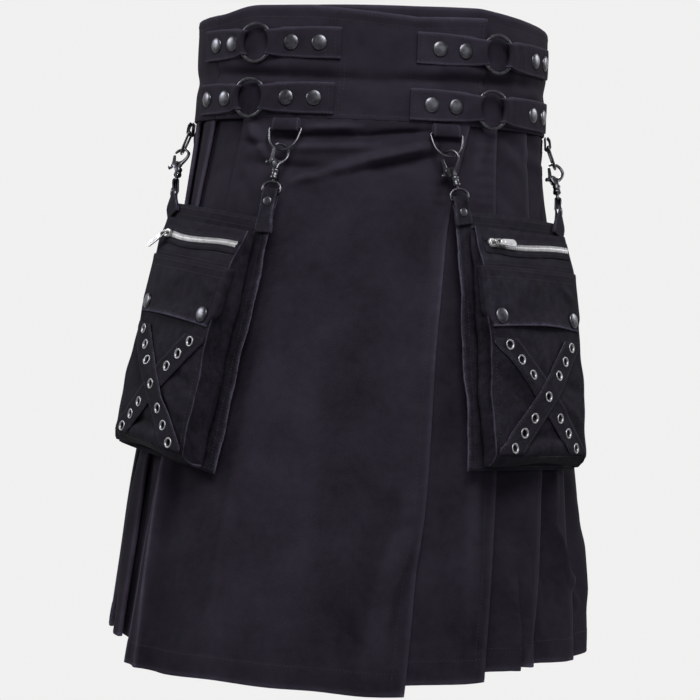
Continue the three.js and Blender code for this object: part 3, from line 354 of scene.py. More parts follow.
def uneven(angle, depth, size, seed):
    """Slow waves of uneven spacing, so that no stretch of cloth is quite true."""
    a, d = angle * 0.052, depth * 0.0105
    waves = np.sin(2.1 * a + 1.3 * d + seed) + 0.7 * np.sin(4.7 * a - 2.2 * d + 2.3 * seed)
    waves = waves + 0.5 * np.sin(7.9 * a + 5.1 * d + 1.1 * seed) + 0.4 * np.sin(3.1 * d - 9.7 * a + seed)
    return size * waves / 2.6


def puckered(along, away, reach, height, seed=0.0):
    """The short ripples beside a seam, in millimetres along it and away from it."""
    ripple = np.sin(along * 0.62 + seed + 0.8 * np.sin(along * 0.11)) + 0.7 * np.sin(along * 0.29 + 2 * seed)
    return height * ripple * bell(away, reach) / 1.7


class Look:
    """A material being made. Sockets are named with _ for a space."""

    def __init__(self, name):
        self.made = bpy.data.materials.new(name)
        self.made.use_nodes = True
        self.nodes = self.made.node_tree.nodes

    def fill(self, sockets, values):
        for name, value in values.items():
            socket = sockets[name.replace("_", " ") if isinstance(name, str) else name]
            if isinstance(value, bpy.types.NodeSocket):
                self.made.node_tree.links.new(value, socket)
            else:
                socket.default_value = value

    def shade(self, **values):
        self.fill(self.nodes["Principled BSDF"].inputs, values)

    def node(self, kind, **values):
        made = self.nodes.new("ShaderNode" + kind)
        self.fill(made.inputs, values)
        return made

    def place(self):
        return self.node("TexCoord").outputs["Object"]

    def attribute(self, name, output):
        made = self.node("Attribute")
        made.attribute_name = name
        return made.outputs[output]

    def ramp(self, source, *stops):
        made = self.node("ValToRGB", Fac=source)
        elements = made.color_ramp.elements
        while len(elements) < len(stops):
            elements.new(0.5)
        for element, (place, colour) in zip(elements, stops):
            element.position, element.color = place, (*colour, 1)
        return made.outputs["Color"]

    def total(self, *parts, plus=0.0):
        """The sum of sources by their weights, and a constant."""
        for source, weight in parts:
            made = self.node("Math")
            made.operation = "MULTIPLY_ADD"
            self.fill(made.inputs, {0: source, 1: weight, 2: plus})
            plus = made.outputs["Value"]
        return plus

    def noise(self, vector, scale, detail, roughness=0.5):
        made = self.node("TexNoise", Vector=vector, Scale=scale, Detail=detail, Roughness=roughness)
        return made.outputs["Fac"]

    def bump(self, height, strength, distance):
        made = self.node("Bump", Height=height, Strength=strength, Distance=distance)
        self.shade(Normal=made.outputs["Normal"])


def twill_material(name, dark, light, mottle=0.22):
    """Twill: a fine diagonal rib, slubs, slow fading, and paler edges and fold ridges, partly real wear and
    partly a painted highlight.
    """
    look = Look(name)
    cloth, wear_and_highlight = look.attribute("cloth", "Vector"), look.attribute("wear_and_highlight", "Fac")
    lean, rib_pitch = 63 * RAD, 0.0008
    turned = look.node("Mapping", Vector=cloth, Rotation=(0, 0, lean)).outputs["Vector"]
    wave = {"Scale": math.pi / 20 / rib_pitch, "Distortion": 1.4, "Detail": 2, "Detail_Scale": 1.6}
    rib = look.node("TexWave", Vector=turned, **wave).outputs["Fac"]
    slub = look.noise(cloth, 900, 4, 0.65)
    fade = look.noise(cloth, 14, 5, 0.6)
    patch = look.noise(cloth, 130, 4, 0.7)
    # The wear attribute pales hems, edges, fold lines and crease ridges: partly rubbed wear, partly a painted
    # highlight standing in for light catching them.
    tone = look.total((fade, 0.5), (slub, 0.28), (patch, mottle), (rib, 0.06), (wear_and_highlight, 0.5))
    start = 0.29 + mottle / 2
    rubbed_and_highlit = tuple(2.3 * part for part in light)
    colour = look.ramp(tone, (start, dark), (start + 0.38, light), (min(1, start + 0.7), rubbed_and_highlit))
    look.bump(look.total((rib, 0.25), (slub, 0.7), (patch, 0.8)), 0.55, 0.0004)
    look.shade(Base_Color=colour, Roughness=look.total((patch, 0.16), plus=0.78), Specular_IOR_Level=0.03)
    return look.made


def metal_material(name, dark, light, rough):
    """Plated metal: slow staining, fine scratches and a little unevenness."""
    look = Look(name)
    where = look.place()
    stain, fine = look.noise(where, 260, 4, 0.6), look.noise(where, 2340, 3, 0.7)
    colour = look.ramp(stain, (0.3, dark), (0.7, light))
    look.bump(fine, 0.12, 0.0002)
    look.shade(Base_Color=colour, Roughness=look.total((stain, 0.18), (fine, 0.08), plus=rough), Metallic=1.0)
    return look.made


def thread_material():
    look = Look("thread")
    ply = look.noise(look.place(), 2600, 2)
    colour = look.ramp(ply, (0.3, (0.0032, 0.003, 0.0042)), (0.75, (0.0125, 0.0115, 0.0155)))
    look.shade(Base_Color=colour, Roughness=0.7, Specular_IOR_Level=0.12)
    return look.made


def floor_material():
    look = Look("pale_floor")
    cloud = look.noise(look.place(), 3, 3)
    colour = look.ramp(cloud, (0.3, (0.82, 0.82, 0.81)), (0.7, (0.86, 0.86, 0.85)))
    look.shade(Base_Color=colour, Roughness=0.8)
    return look.made


SKIRT_CLOTH = twill_material("black_twill", (0.0023, 0.0019, 0.0033), (0.0088, 0.0074, 0.0116))
POCKET_CLOTH = twill_material("pocket_twill", (0.0016, 0.0014, 0.0023), (0.0072, 0.0064, 0.0098), 0.6)
GUNMETAL = metal_material("gunmetal", (0.014, 0.014, 0.017), (0.042, 0.042, 0.048), 0.22)
EYELET_METAL = metal_material("eyelet_nickel", (0.09, 0.09, 0.098), (0.17, 0.17, 0.18), 0.34)
BRIGHT = metal_material("bright_nickel", (0.10, 0.10, 0.105), (0.20, 0.195, 0.195), 0.34)
THREADS = thread_material()


def new_object(name, points, faces):
    mesh = bpy.data.meshes.new(name)
    mesh.from_pydata((np.asarray(points) * MM).tolist(), [], faces)
    made = bpy.data.objects.new(name, mesh)
    bpy.context.scene.collection.objects.link(made)
    return made


def finish_piece(piece, look, body, crease):
    piece.data.materials.append(look)
    piece.data.shade_smooth()
    piece.data.set_sharp_from_angle(angle=crease * RAD)
    piece.data.validate()
    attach(piece, body)
    return piece


def joined(shapes):
    """Points and faces of several shapes as one."""
    points, faces, count = [], [], 0
    for own_points, own_faces in shapes:
        points.append(np.asarray(own_points, float))
        faces.extend([[i + count for i in face] for face in own_faces])
        count += len(own_points)
    return np.concatenate(points), faces


def add_shapes(name, shapes, look=GUNMETAL, body="garment", crease=40, node=None):
    piece = finish_piece(new_object(name, *joined(shapes)), look, body, crease)
    if node:
        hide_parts(node)
    return piece


def lathe(profile, at, axis, sides=28):
    """A turned shape: profile is (radius, height) from the bottom round to the top, closed on the axis."""
    axis = unit(np.asarray(axis, float))
    x = unit(np.cross([0, 0, 1.0] if abs(axis[2]) < 0.9 else [1.0, 0, 0], axis))
    turn = np.arange(sides)[:, None] * 2 * math.pi / sides
    ring = np.cos(turn) * x + np.sin(turn) * np.cross(axis, x)
    points, faces, rows = [], [], []
    for radius, height in profile:
        start = len(points)
        if radius < 1e-6:
            points.append(at + axis * height)
            rows.append([start] * sides)
        else:
            points.extend(at + axis * height + ring * radius)
            rows.append([start + k for k in range(sides)])
    for low, high in zip(rows, rows[1:]):
        for k in range(sides):
            n = (k + 1) % sides
            face = list(dict.fromkeys([low[k], low[n], high[n], high[k]]))
            if len(face) > 2:
                faces.append(face)
    return np.array(points), faces


def turned_ring(profile, at, axis, sides=28):
    """A turned ring whose profile closes on itself."""
    points, faces = lathe(profile, at, axis, sides)
    last = (len(profile) - 1) * sides
    return points, faces + [[last + k, last + (k + 1) % sides, (k + 1) % sides, k] for k in range(sides)]


def tube(path, radii, sides=12, closed=False, hint=(0, 0, 1), flat=1.0):
    """A tube along a path. flat squeezes it along the hint, and ends are rounded."""
    path, hint = np.asarray(path, float), np.asarray(hint, float)
    radii = np.broadcast_to(np.asarray(radii, float), (len(path),))
    if closed:
        ahead = unit(np.roll(path, -1, 0) - np.roll(path, 1, 0))
    else:
        ahead = unit(np.gradient(path, axis=0))
    normal = unit(hint - (ahead @ hint)[:, None] * ahead)
    side = np.cross(ahead, normal)
    if not closed:
        first, last = path[:1] - ahead[:1] * radii[0] * 0.6, path[-1:] + ahead[-1:] * radii[-1] * 0.6
        path = np.concatenate([first, path, last])
        radii = np.concatenate([[radii[0] * 0.55], radii, [radii[-1] * 0.55]])
        normal, side = (np.concatenate([way[:1], way, way[-1:]]) for way in (normal, side))
    count = len(path)
    turn = ((np.arange(sides) + 0.5) * 2 * math.pi / sides)[None, :, None]
    around = side[:, None] * np.cos(turn) + normal[:, None] * flat * np.sin(turn)
    points = (path[:, None] + around * radii[:, None, None]).reshape(-1, 3)
    faces = []
    for i in range(count if closed else count - 1):
        n = (i + 1) % count * sides
        for k in range(sides):
            m = (k + 1) % sides
            faces.append([i * sides + k, i * sides + m, n + m, n + k])
    if not closed:
        faces += [list(range(sides))[::-1], [(count - 1) * sides + k for k in range(sides)]]
    return points, faces


def curve_through(points, steps, closed=False):
    """A smooth line through points, with so many steps between each two."""
    points = np.asarray(points, float)
    count = len(points)
    out = []
    for i in range(count if closed else count - 1):
        places = (i + np.arange(-1, 3)) % count if closed else np.clip(i + np.arange(-1, 3), 0, count - 1)
        a, b, c, d = points[places]
        for t in np.arange(steps) / steps:
            bend = 2 * b + (c - a) * t + (2 * a - 5 * b + 4 * c - d) * t**2 + (3 * b - a - 3 * c + d) * t**3
            out.append(bend / 2)
    return np.array(out if closed else out + [points[-1]])


def slab(outline, thick, place, soften=0.25):
    """A plate with softened edges: its outline in a place's first two directions, thick along its third."""
    outline = np.asarray(outline, float)
    inwards = outline.mean(0) - outline
    inset = outline + inwards * (soften / np.maximum(np.linalg.norm(inwards, axis=1), 1))[:, None]
    half = thick / 2
    levels = [(inset, -half), (outline, soften - half), (outline, half - soften), (inset, half)]
    points = np.concatenate([put(place, p[:, :1], p[:, 1:], level) for p, level in levels])
    n = len(outline)
    faces = [list(range(n))[::-1], [3 * n + k for k in range(n)]]
    for low in (0, n, 2 * n):
        faces += [[low + k, low + (k + 1) % n, low + n + (k + 1) % n, low + n + k] for k in range(n)]
    return points, faces


class Cloth:
    """A sheet on a grid: rows go down and columns towards +angle, so its outside faces out."""

    def __init__(self, name, middle, thickness=TWILL, sides=None, wear_and_highlight=0.0):
        self.name, self.middle = name, np.asarray(middle, float)
        self.out, self.inn = sides or (thickness / 2, -thickness / 2)
        self.down, self.along = (unit(np.gradient(self.middle, axis=way)) for way in (0, 1))
        self.normal = unit(np.cross(self.down, self.along))
        self.wear_and_highlight = wear_and_highlight + np.zeros(self.middle.shape[:2])

    def sample(self, row, column):
        """Points and normals of the outside at shares of the rows and columns."""
        rows, columns = self.middle.shape[:2]
        places = (np.asarray(row) * (rows - 1.0), np.asarray(column) * (columns - 1.0))
        row, column = np.broadcast_arrays(*places)
        r, c = np.clip(row.astype(int), 0, rows - 2), np.clip(column.astype(int), 0, columns - 2)

        def blend(grid):
            across = (column - c)[..., None]
            top, low = (mix(grid[i, c], grid[i, c + 1], across) for i in (r, r + 1))
            return mix(top, low, (row - r)[..., None])

        return blend(self.middle + self.normal * self.out), unit(blend(self.normal))

    def flat_size(self):
        """Width, length and area of the grid's middle surface."""
        m = self.middle
        width, length = (np.linalg.norm(np.diff(m, axis=way), axis=2).sum(way).max() for way in (1, 0))
        a, b = m[1:, 1:] - m[:-1, :-1], m[1:, :-1] - m[:-1, 1:]
        return width, length, np.linalg.norm(np.cross(a, b), axis=2).sum() / 2

    def geometry(self):
        """Points and faces, and each point's place in the flat cloth and its wear and painted highlight."""
        m = self.middle
        rows, columns = m.shape[:2]
        total = rows * columns
        levels = (self.out, self.inn, (self.out + self.inn) / 2)
        outer, inner, centre = (m + self.normal * level for level in levels)
        index = np.arange(total).reshape(rows, columns)
        quads = np.stack([index[:-1, :-1], index[1:, :-1], index[1:, 1:], index[:-1, 1:]], -1).reshape(-1, 4)
        edge = np.concatenate([index[0, :-1], index[:-1, -1], index[-1, :0:-1], index[:0:-1, 0]])
        push = np.zeros(m.shape)
        push[0] -= self.down[0]
        push[-1] += self.down[-1]
        push[:, 0] -= self.along[:, 0]
        push[:, -1] += self.along[:, -1]
        rim = centre + unit(push) * (self.out - self.inn) / 2 * RIM_ROUND
        rim_index = 2 * total + np.arange(len(edge))
        after, rim_after = np.roll(edge, -1), np.roll(rim_index, -1)
        outside = np.stack([edge, after, rim_after, rim_index], -1)
        inside = np.stack([rim_index, rim_after, after + total, edge + total], -1)
        across = np.linalg.norm(np.diff(m, axis=1, prepend=m[:, :1]), axis=2).cumsum(1)
        across -= across[:, columns // 2, None]
        fall = np.linalg.norm(np.diff(m, axis=0, prepend=m[:1]), axis=2).cumsum(0)
        spots, wear_and_highlight = np.stack([across, fall, 0 * fall], -1).reshape(-1, 3), self.wear_and_highlight.ravel()
        points = np.concatenate([outer.reshape(-1, 3), inner.reshape(-1, 3), rim.reshape(-1, 3)[edge]])
        faces = np.concatenate([quads, quads[:, ::-1] + total, outside, inside])
        # The rounded rims are made paler still: a painted highlight along the cut edges, with a little wear.
        wear_and_highlight = np.concatenate([wear_and_highlight, wear_and_highlight, wear_and_highlight[edge] + 0.25])
        return points, faces, np.concatenate([spots, spots, spots[edge]]), wear_and_highlight

    def build(self, look=SKIRT_CLOTH, replaces=(), held="stretched", rests_on=()):
        points, faces, spots, wear_and_highlight = self.geometry()
        piece = new_object(self.name, points, faces.tolist())
        attributes = piece.data.attributes
        attributes.new("cloth", "FLOAT_VECTOR", "POINT").data.foreach_set("vector", spots.ravel() * MM)
        attributes.new("wear_and_highlight", "FLOAT", "POINT").data.foreach_set("value", wear_and_highlight)
        finish_piece(piece, look, "garment", 75)
        if replaces:
            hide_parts(*replaces)
        width, length, area = self.flat_size()
        area = min(area, 0.999 * width * length) * MM * MM
        return piece


# A stitch's corners are its sunk start, three near it and three near its end, and its sunk end.
STITCH_FACES = [
    [0, 2, 1], [0, 3, 2], [1, 2, 5, 4], [2, 3, 6, 5], [4, 5, 7],
    [5, 6, 7], [1, 4, 6, 3], [0, 1, 3], [4, 7, 6],
]
thread_runs = {}


def stitch(group, points, normals):
    """A row of stitches along points, each a short raised thread."""
    along = np.concatenate([[0], np.linalg.norm(np.diff(points, axis=0), axis=1).cumsum()])
    count = int(along[-1] // STITCH_PITCH)
    centres = (np.arange(count) + 0.5) * along[-1] / count

    def look_up(values, ahead=0.0):
        return np.stack([np.interp(centres + ahead, along, values[:, k]) for k in range(3)], -1)

    at, up = look_up(points), unit(look_up(normals))
    ahead = unit(look_up(points, 0.5) - look_up(points, -0.5))
    third = STITCH_HALF / 3
    middles = [(a, s * THREAD, u) for a in (-third, third) for s, u in ((1, 0.1), (0, THREAD), (-1, 0.1))]
    ends = [(-STITCH_HALF, 0, -0.15), (STITCH_HALF, 0, -0.15)]
    places = (at, ahead, np.cross(up, ahead), up)
    corners = np.stack([put(places, *corner) for corner in ends[:1] + middles + ends[1:]], 1)
    thread_runs.setdefault(group, []).extend((own, STITCH_FACES) for own in corners)


def sew(group, cloth, *lines):
    """Stitches on the outside of a cloth. Each line goes from one row and column share to another."""
    shares = np.linspace(0, 1, 160)
    for row, column, last_row, last_column in lines:
        stitch(group, *cloth.sample(mix(row, last_row, shares), mix(column, last_column, shares)))


def finish_threads():
    for group, runs in thread_runs.items():
        add_shapes("stitches_" + group, runs, THREADS, crease=180)


def over_level(angle):
    return OVER_LEVEL * smooth((angle - OVER_START) / (OVER_FULL - OVER_START))


def band_top(angle):
    return np.where(angle <= OVER_END, over_level(angle), 0.0) + FOLDED / 2


def make_band(name, start, end, level, edge, step):
    angle = np.linspace(start, end, int(round((end - start) / step)) + 1)[None, :]
    share = np.linspace(0, 1, 34)[:, None]
    depth = mix(edge(angle), BAND_DEPTH, share)
    wrapped = np.where(angle > 302, angle - 360, angle)
    relief = creased(wrapped, depth, BAND_CREASES, degree_at(angle, depth)) * smooth(share / 0.12)
    relief += uneven(angle, depth * 4, 0.35, 1.7) * smooth(share / 0.2) * smooth((1 - share) / 0.15)
    relief += 0.55 * bell(share - 0.03, 0.035)
    relief += puckered(angle * 2.9, share - 1, 0.1, 0.5) + puckered(angle * 2.9, share - 0.06, 0.08, 0.3, 1)
    # Paler band edges: partly wear, partly a painted highlight along the folded edges.
    wear_and_highlight = 0.5 * bell(share, 0.02) + 0.3 * bell(1 - share, 0.03)
    return Cloth(name, on_form(angle, depth, level(angle) + relief), FOLDED, wear_and_highlight=wear_and_highlight)


def make_waistband():
    seam = SEAM / 2 / FORM["half_depth"][0] / RAD

    def under(angle):
        return read(WAIST_EDGE, "under", angle)

    def over(angle):
        risen = smooth((angle - OVER_START) / OVER_EDGE_RISE)
        return mix(OVER_EDGE_LEFT, read(WAIST_EDGE, "over", angle), risen)

    end = 360 + OVER_START - seam
    main = make_band("waistband_main_cloth", UNDER_START, end, lambda angle: 0, under, 1.8)
    main.build(replaces=["waistband_main"])
    lap = make_band("waistband_over_cloth", OVER_START + seam, OVER_END, over_level, over, 0.9)
    lap.build(replaces=["waistband_over"], rests_on=["waistband_main_cloth"])
    rows, columns = (0.035, 0.1, 0.965), (0.97, 0.985)
    sew("waistband", main, *((row, 0.22, row, 0.999) for row in rows))
    sew("waistband", lap, *((row, 0.004, row, 0.985) for row in rows))
    sew("waistband", lap, *((0.04, column, 0.96, column) for column in columns))
    for angle, top in ((-11.2, 0.45), (-9.9, 0.45), (10.7, 0.42)):
        share = (angle - OVER_START) / (OVER_END - OVER_START)
        sew("waistband", lap, (top, share, 0.96, share))


def hang(depth):
    return smooth((depth - BAND_DEPTH) / (OVER_HEM - BAND_DEPTH))


def spaced(start, end, count, lines, reach=1.6):
    """Even steps from start to end with extra ones beside each line."""
    extra = [line + offset for line in lines for offset in (-reach, 0, reach)]
    return np.unique(np.concatenate([np.linspace(start, end, count), extra]))


def row_share(depths, depth):
    """Which share of a cloth's rows lies at a depth."""
    return float(np.interp(depth, depths, np.linspace(0, 1, len(depths))))


def apron_depths(hem):
    """The rows of an apron, finer where it is drawn into folds under the band."""
    near_top = np.linspace(BAND_DEPTH + SEAM, 176.0, 50)
    return np.concatenate([near_top, spaced(179.0, hem, 104, [hem - HEM_TURN, hem - 4.0])])


def make_apron(name, left, right, hem, level, creases, count):
    depth = apron_depths(hem)[:, None]
    angle = mix(left(depth), right(depth), np.linspace(0, 1, count))
    per = degree_at(angle, depth)
    folds = creased(angle, depth, creases, per)
    from_right, past_line = (right(depth) - angle) * per, angle - LAP["line"]
    strip = smooth((depth - LAP["from"]) / LAP["over"]) * (left(hem) < LAP["line"])
    relief = folds + uneven(angle, depth, 1.0, APRON_SEED) * hang(depth) ** 0.6
    relief += 0.35 * smooth((depth - hem + HEM_TURN) / 2.5) + 0.4 * smooth((HEM_TURN - from_right) / 3)
    relief += puckered(angle * 3.8, depth - hem + 11, 11, 0.45, APRON_SEED)
    relief += 0.9 * puckered(depth, from_right - 12, 11, 0.5, APRON_SEED + 1)
    relief = np.maximum(relief * smooth((depth - BAND_DEPTH) / 9), -5.5)
    relief -= strip * LAP["curl"] * smooth(-past_line / 6)
    relief += strip * (LAP["ridge"] * bell(past_line, 1.3) - 2.2 * bell(past_line - 5.5, 3.2))
    swing = 1.9 * np.sin(angle * 0.085 + APRON_SEED) + 0.6 * np.sin(angle * 0.27 + 2 * APRON_SEED) - 0.8
    fall = depth + swing * smooth((depth - hem + 60) / 60)
    # Paler hem and right edge (partly wear), and paler crease ridges and lines at the lap's edge and fold: a
    # painted highlight where light catches them.
    wear_and_highlight = 0.7 * bell(hem - depth, 3) + 0.5 * bell(from_right, 3) + 0.1 * np.clip(folds, 0, 2)
    wear_and_highlight += strip * (0.95 * bell((angle - left(depth)) * per, 2.5) + 0.75 * bell(past_line, 0.55))
    return Cloth(name, on_form(angle, fall, level(angle, depth) + relief), wear_and_highlight=wear_and_highlight)


def make_aprons():
    def over_out(angle, depth):
        return over_level(np.maximum(angle, LAP_LEVEL_FROM)) + APRON_FLARE * hang(depth)

    def edge(column):
        return lambda depth: soft_read(APRON_EDGES, column, depth)

    ends = (edge("over_left"), edge("over_right"))
    over = make_apron("over_apron_cloth", *ends, OVER_HEM, over_out, APRON_CREASES, 132)
    over.build(replaces=["over_apron"], held="hung", rests_on=["under_apron_cloth"])
    ends = (lambda depth: UNDER_LEFT, edge("under_right"))
    flat = lambda angle, depth: hang(depth)
    under = make_apron("under_apron_cloth", *ends, UNDER_HEM, flat, APRON_CREASES + UNDER_CREASES, 84)
    under.build(replaces=["under_apron"], held="hung", rests_on=["waistband_main_cloth"])
    over_row, under_row = (row_share(apron_depths(hem), hem - HEM_STITCH) for hem in (OVER_HEM, UNDER_HEM))
    sew("aprons", over, (over_row, 0.01, over_row, 0.995))
    sew("aprons", over, (0.01, 0.972, 0.96, 0.958), (0.01, 0.018, 0.17, 0.018))
    sew("aprons", under, (under_row, 0.6, under_row, 0.99), (0.01, 0.962, 0.96, 0.95))


def fold_angle(k, depth):
    if k == 0:
        return soft_read(APRON_EDGES, "under_right", depth)
    if k == 1:
        return soft_read(FOLDS, "first", depth)
    loose = smooth((depth - STITCHED_TO) / PLEAT_SWING["over"])
    wave = np.sin(PLEAT_SWING["per_fold"] * k + depth / PLEAT_SWING["per_depth"])
    swing = PLEAT_SWING["degrees"] * loose * wave * (k < PLEATS)
    second, last = soft_read(FOLDS, "second", depth), soft_read(FOLDS, "last", depth)
    fold = mix(second, last, (k - 2) / (PLEATS - 2)) + swing
    if k == FOLD_BEND["fold"]:
        fold = fold + FOLD_BEND["degrees"] * bell(depth - FOLD_BEND["depth"], FOLD_BEND["over"])
    return fold


def make_pleats():
    fine = [PLEAT_HEM - HEM_TURN, PLEAT_HEM - 4.0]
    depth = np.concatenate([TUCK_DEPTHS, spaced(110.0, PLEAT_HEM, 84, fine)])
    opening = 1 + PLEAT_OPENING["more"] * smooth((depth - STITCHED_TO) / PLEAT_OPENING["over"])
    loose = smooth((depth - STITCHED_TO) / 260)
    low, past = LOW_FACE["level"], LOW_FACE["past"]
    columns, starts, turns = [], [], []

    def column(angle, inwards, wear_and_highlight=0.0):
        columns.append((angle, inwards * opening, wear_and_highlight + 0 * depth))

    hidden = fold_angle(0, depth) - UNDERLAY
    column(hidden, low)
    column(hidden + UNDERLAY / 2, low)
    turn_radius = FOLD_GAP / 2
    # Each fold's edge and turn is made paler: a painted highlight along the pleat folds, partly wear.
    for k in range(1, PLEATS + 1):
        here, fold = fold_angle(k - 1, depth), fold_angle(k, depth)
        start, end = here + past, fold - FOLD_EASE
        full = 1.3 * math.sin(1.9 * k) + 1.6
        starts.append(len(columns))
        for t in FINE_SHARES if k in FINE_PLEATS else FACE_SHARES:
            belly = full * np.sin(math.pi * t) ** 2 * loose / opening
            column(mix(start, end, t), low * (1 - smooth(t / 0.9)) ** 1.3 - belly, 0.25 * (t > 0.9))
        turns.append(len(columns))
        for turn in (60 * RAD, 20 * RAD, -20 * RAD, -60 * RAD):
            round_off = turn_radius * math.cos(turn) / degree_at(fold, depth)
            column(end + round_off, turn_radius * (1 - math.sin(turn)), 0.7)
        column(fold - UNDERLAY / 2, (FOLD_GAP + TURN_BACK) / 2)
        column(fold - UNDERLAY + 0.35, TURN_BACK)
        column(fold - UNDERLAY, TURN_BACK + FOLD_GAP / 2)
        column(fold - UNDERLAY + 0.35, TURN_BACK + FOLD_GAP)
    start, lap = fold_angle(PLEATS, depth) + past, 360 + soft_read(APRON_EDGES, "over_left", depth)
    for t in (0, 0.2, 0.4, 0.6, 0.8):
        column(mix(start, lap, t), mix(low, TURN_BACK, smooth(t / 0.6)))
    column(lap + UNDERLAY, TURN_BACK)
    angle, inwards, wear_and_highlight = (np.stack(values, 1) for values in zip(*columns))
    down = depth[:, None]
    sewn = 1 - smooth((down - BAND_DEPTH + 0.6) / (PLEAT_TUCK["until"] - BAND_DEPTH))
    inwards = inwards * mix(1, PLEAT_TUCK["pressed"], sewn) + PLEAT_TUCK["behind"] * sewn
    wrapped = np.where(angle > 270, angle - 360, angle)
    relief = creased(wrapped, down, PLEAT_CREASES, degree_at(angle, down))
    relief += uneven(angle, down, 1.1, 3.1) * hang(down)
    relief += puckered(angle * 3.9, down - PLEAT_HEM + 10, 10, 0.45, 2)
    relief = (relief + 0.3 * smooth((down - PLEAT_HEM + HEM_TURN) / 2.5)) * smooth((down - BAND_DEPTH) / 10)
    swing = 1.8 * np.sin(angle * 0.08 + 1) + 0.8 * np.sin(angle * 0.23)
    fall = down + swing * smooth((down - PLEAT_HEM + 60) / 60)
    wear_and_highlight = wear_and_highlight + 0.6 * bell(PLEAT_HEM - down, 3)
    cloth = Cloth("pleats_cloth", on_form(angle, fall, relief - inwards), wear_and_highlight=wear_and_highlight)
    cloth.build(replaces=["pleats"], held="folded", rests_on=["waistband_main_cloth"])
    # Each pleat is sewn down near its fold edge as far as the hip, and the hem is turned all round.
    count = angle.shape[1] - 1
    shown, stitched, hem = (row_share(depth, at) for at in (108.0, STITCHED_TO, PLEAT_HEM - HEM_STITCH))
    for first, turn in zip(starts, turns):
        edge, end = (turn - 1.4) / count, (turn - 0.6) / count
        sew("pleats", cloth, (shown, edge, stitched, edge), (hem, first / count, hem, end))


def snap_cap(at, axis, size=CAP):
    """A press stud's cap: a low dome with a rolled rim."""
    shape = [(0, 0), (0.9, 0), (1, 0.14), (1, 0.36), (0.95, 0.56)]
    shape += [(0.84, 0.72), (0.62, 0.88), (0.34, 0.97), (0, 1)]
    return lathe([(size["radius"] * r, size["height"] * h) for r, h in shape], at, axis)


def climb_base(angle):
    return FOLDED / 2 + OVER_LEVEL * smooth((62.0 - angle) / 14.0)


def ring_level(ring):
    base = (OVER_LEVEL if ring > 0 else over_level(ring)) + FOLDED / 2
    return base + LIE + STRAP_CLOTH + LOOP_CLEAR + RING_WIRE


def make_strap(name, depth, ring, ends):
    end, caps = ends[0], ends[1:]
    side = math.copysign(1, end - ring)
    base = climb_base if ring > 0 and side > 0 else band_top
    place = place_frame(ring, depth, ring_level(ring))
    lower = STRAP_CLOTH / 2 + LIE
    upper = lower + STRAP_CLOTH + LIE
    near = ring + side * STRAP_LIFTS
    angles = np.linspace(end, near, int(abs(end - near) / 1.1) + 2)
    pinch = smooth(1 - np.abs(angles - near) / 9.0)
    half = mix(STRAP_HALF, STRAP_LOOP_HALF + 1.2, pinch * 0.7)
    dimples = sum(-0.45 * bell(angles - cap, 2.6) for cap in caps)
    shares = np.array([1, 0.93, 0.8, 0.6, 0.35, 0, -0.35, -0.6, -0.8, -0.93, -1])
    tall = RING_WIRE + LOOP_CLEAR + STRAP_CLOTH / 2
    rows = []
    for share in shares:
        pucker = 0.35 * pinch * math.cos(share * 7.0) + 0.25 * np.sin(angles * 1.3 + share * 2.0 + ring)
        lift = upper + (dimples * (1 - share**2) + pucker) * 0.8 - 0.3 * abs(share) ** 8
        row = list(on_form(angles, depth - share * half, base(angles) + lift))
        z = share * STRAP_LOOP_HALF
        reach = math.sqrt(RING_RADIUS**2 - z**2)
        wide = RING_WIRE * RING_RADIUS / reach + LOOP_CLEAR + STRAP_CLOTH / 2
        for turn in np.arange(118, -119, -18) * RAD:
            row.append(put(place, side * (reach - wide * math.cos(turn)), -z, tall * math.sin(turn)))
        back = angles[::-1]
        rows.append(row + list(on_form(back, depth - share * STRAP_HALF * 0.985, base(back) + lower)))
    grid = np.array(rows)
    top = 0.82 * (len(angles) - 1) / (grid.shape[1] - 1)
    sewn = [0.03, 0.035, 0.085, top]
    if side > 0:
        grid, sewn = grid[:, ::-1], [1 - share for share in sewn]
    cloth = Cloth(name + "_cloth", grid, STRAP_CLOTH, wear_and_highlight=0.5 * (np.abs(shares) > 0.9)[:, None])
    cloth.build(replaces=[name], held="stretched", rests_on=["waistband_over_cloth"])
    end, edge, second, top = sewn
    sew("straps", cloth, *((row, edge, row, top) for row in (0.1, 0.9)))
    sew("straps", cloth, *((0.1, share, 0.9, share) for share in (end, second, top)))
    shapes, top = [], upper + STRAP_CLOTH / 2 - CAP_SINKS
    for angle in caps:
        at, _, _, outward = place_frame(angle, depth, float(base(angle)) + top)
        shapes.append(snap_cap(at, outward))
    add_shapes(name + "_snaps", shapes)


def make_straps():
    turns = np.arange(72)[:, None] * 2 * math.pi / 72
    for name, row in STRAPS.items():
        place = place_frame(row["ring"], row["depth"], ring_level(row["ring"]))
        path = put(place, RING_RADIUS * np.cos(turns), RING_RADIUS * np.sin(turns))
        add_shapes("o_" + name, [tube(path, RING_WIRE, 14, True, place[3])], crease=180, node="ring_" + name)
        for end in ("front", "rear"):
            make_strap("strap_" + name + "_" + end, row["depth"], row["ring"], row[end])


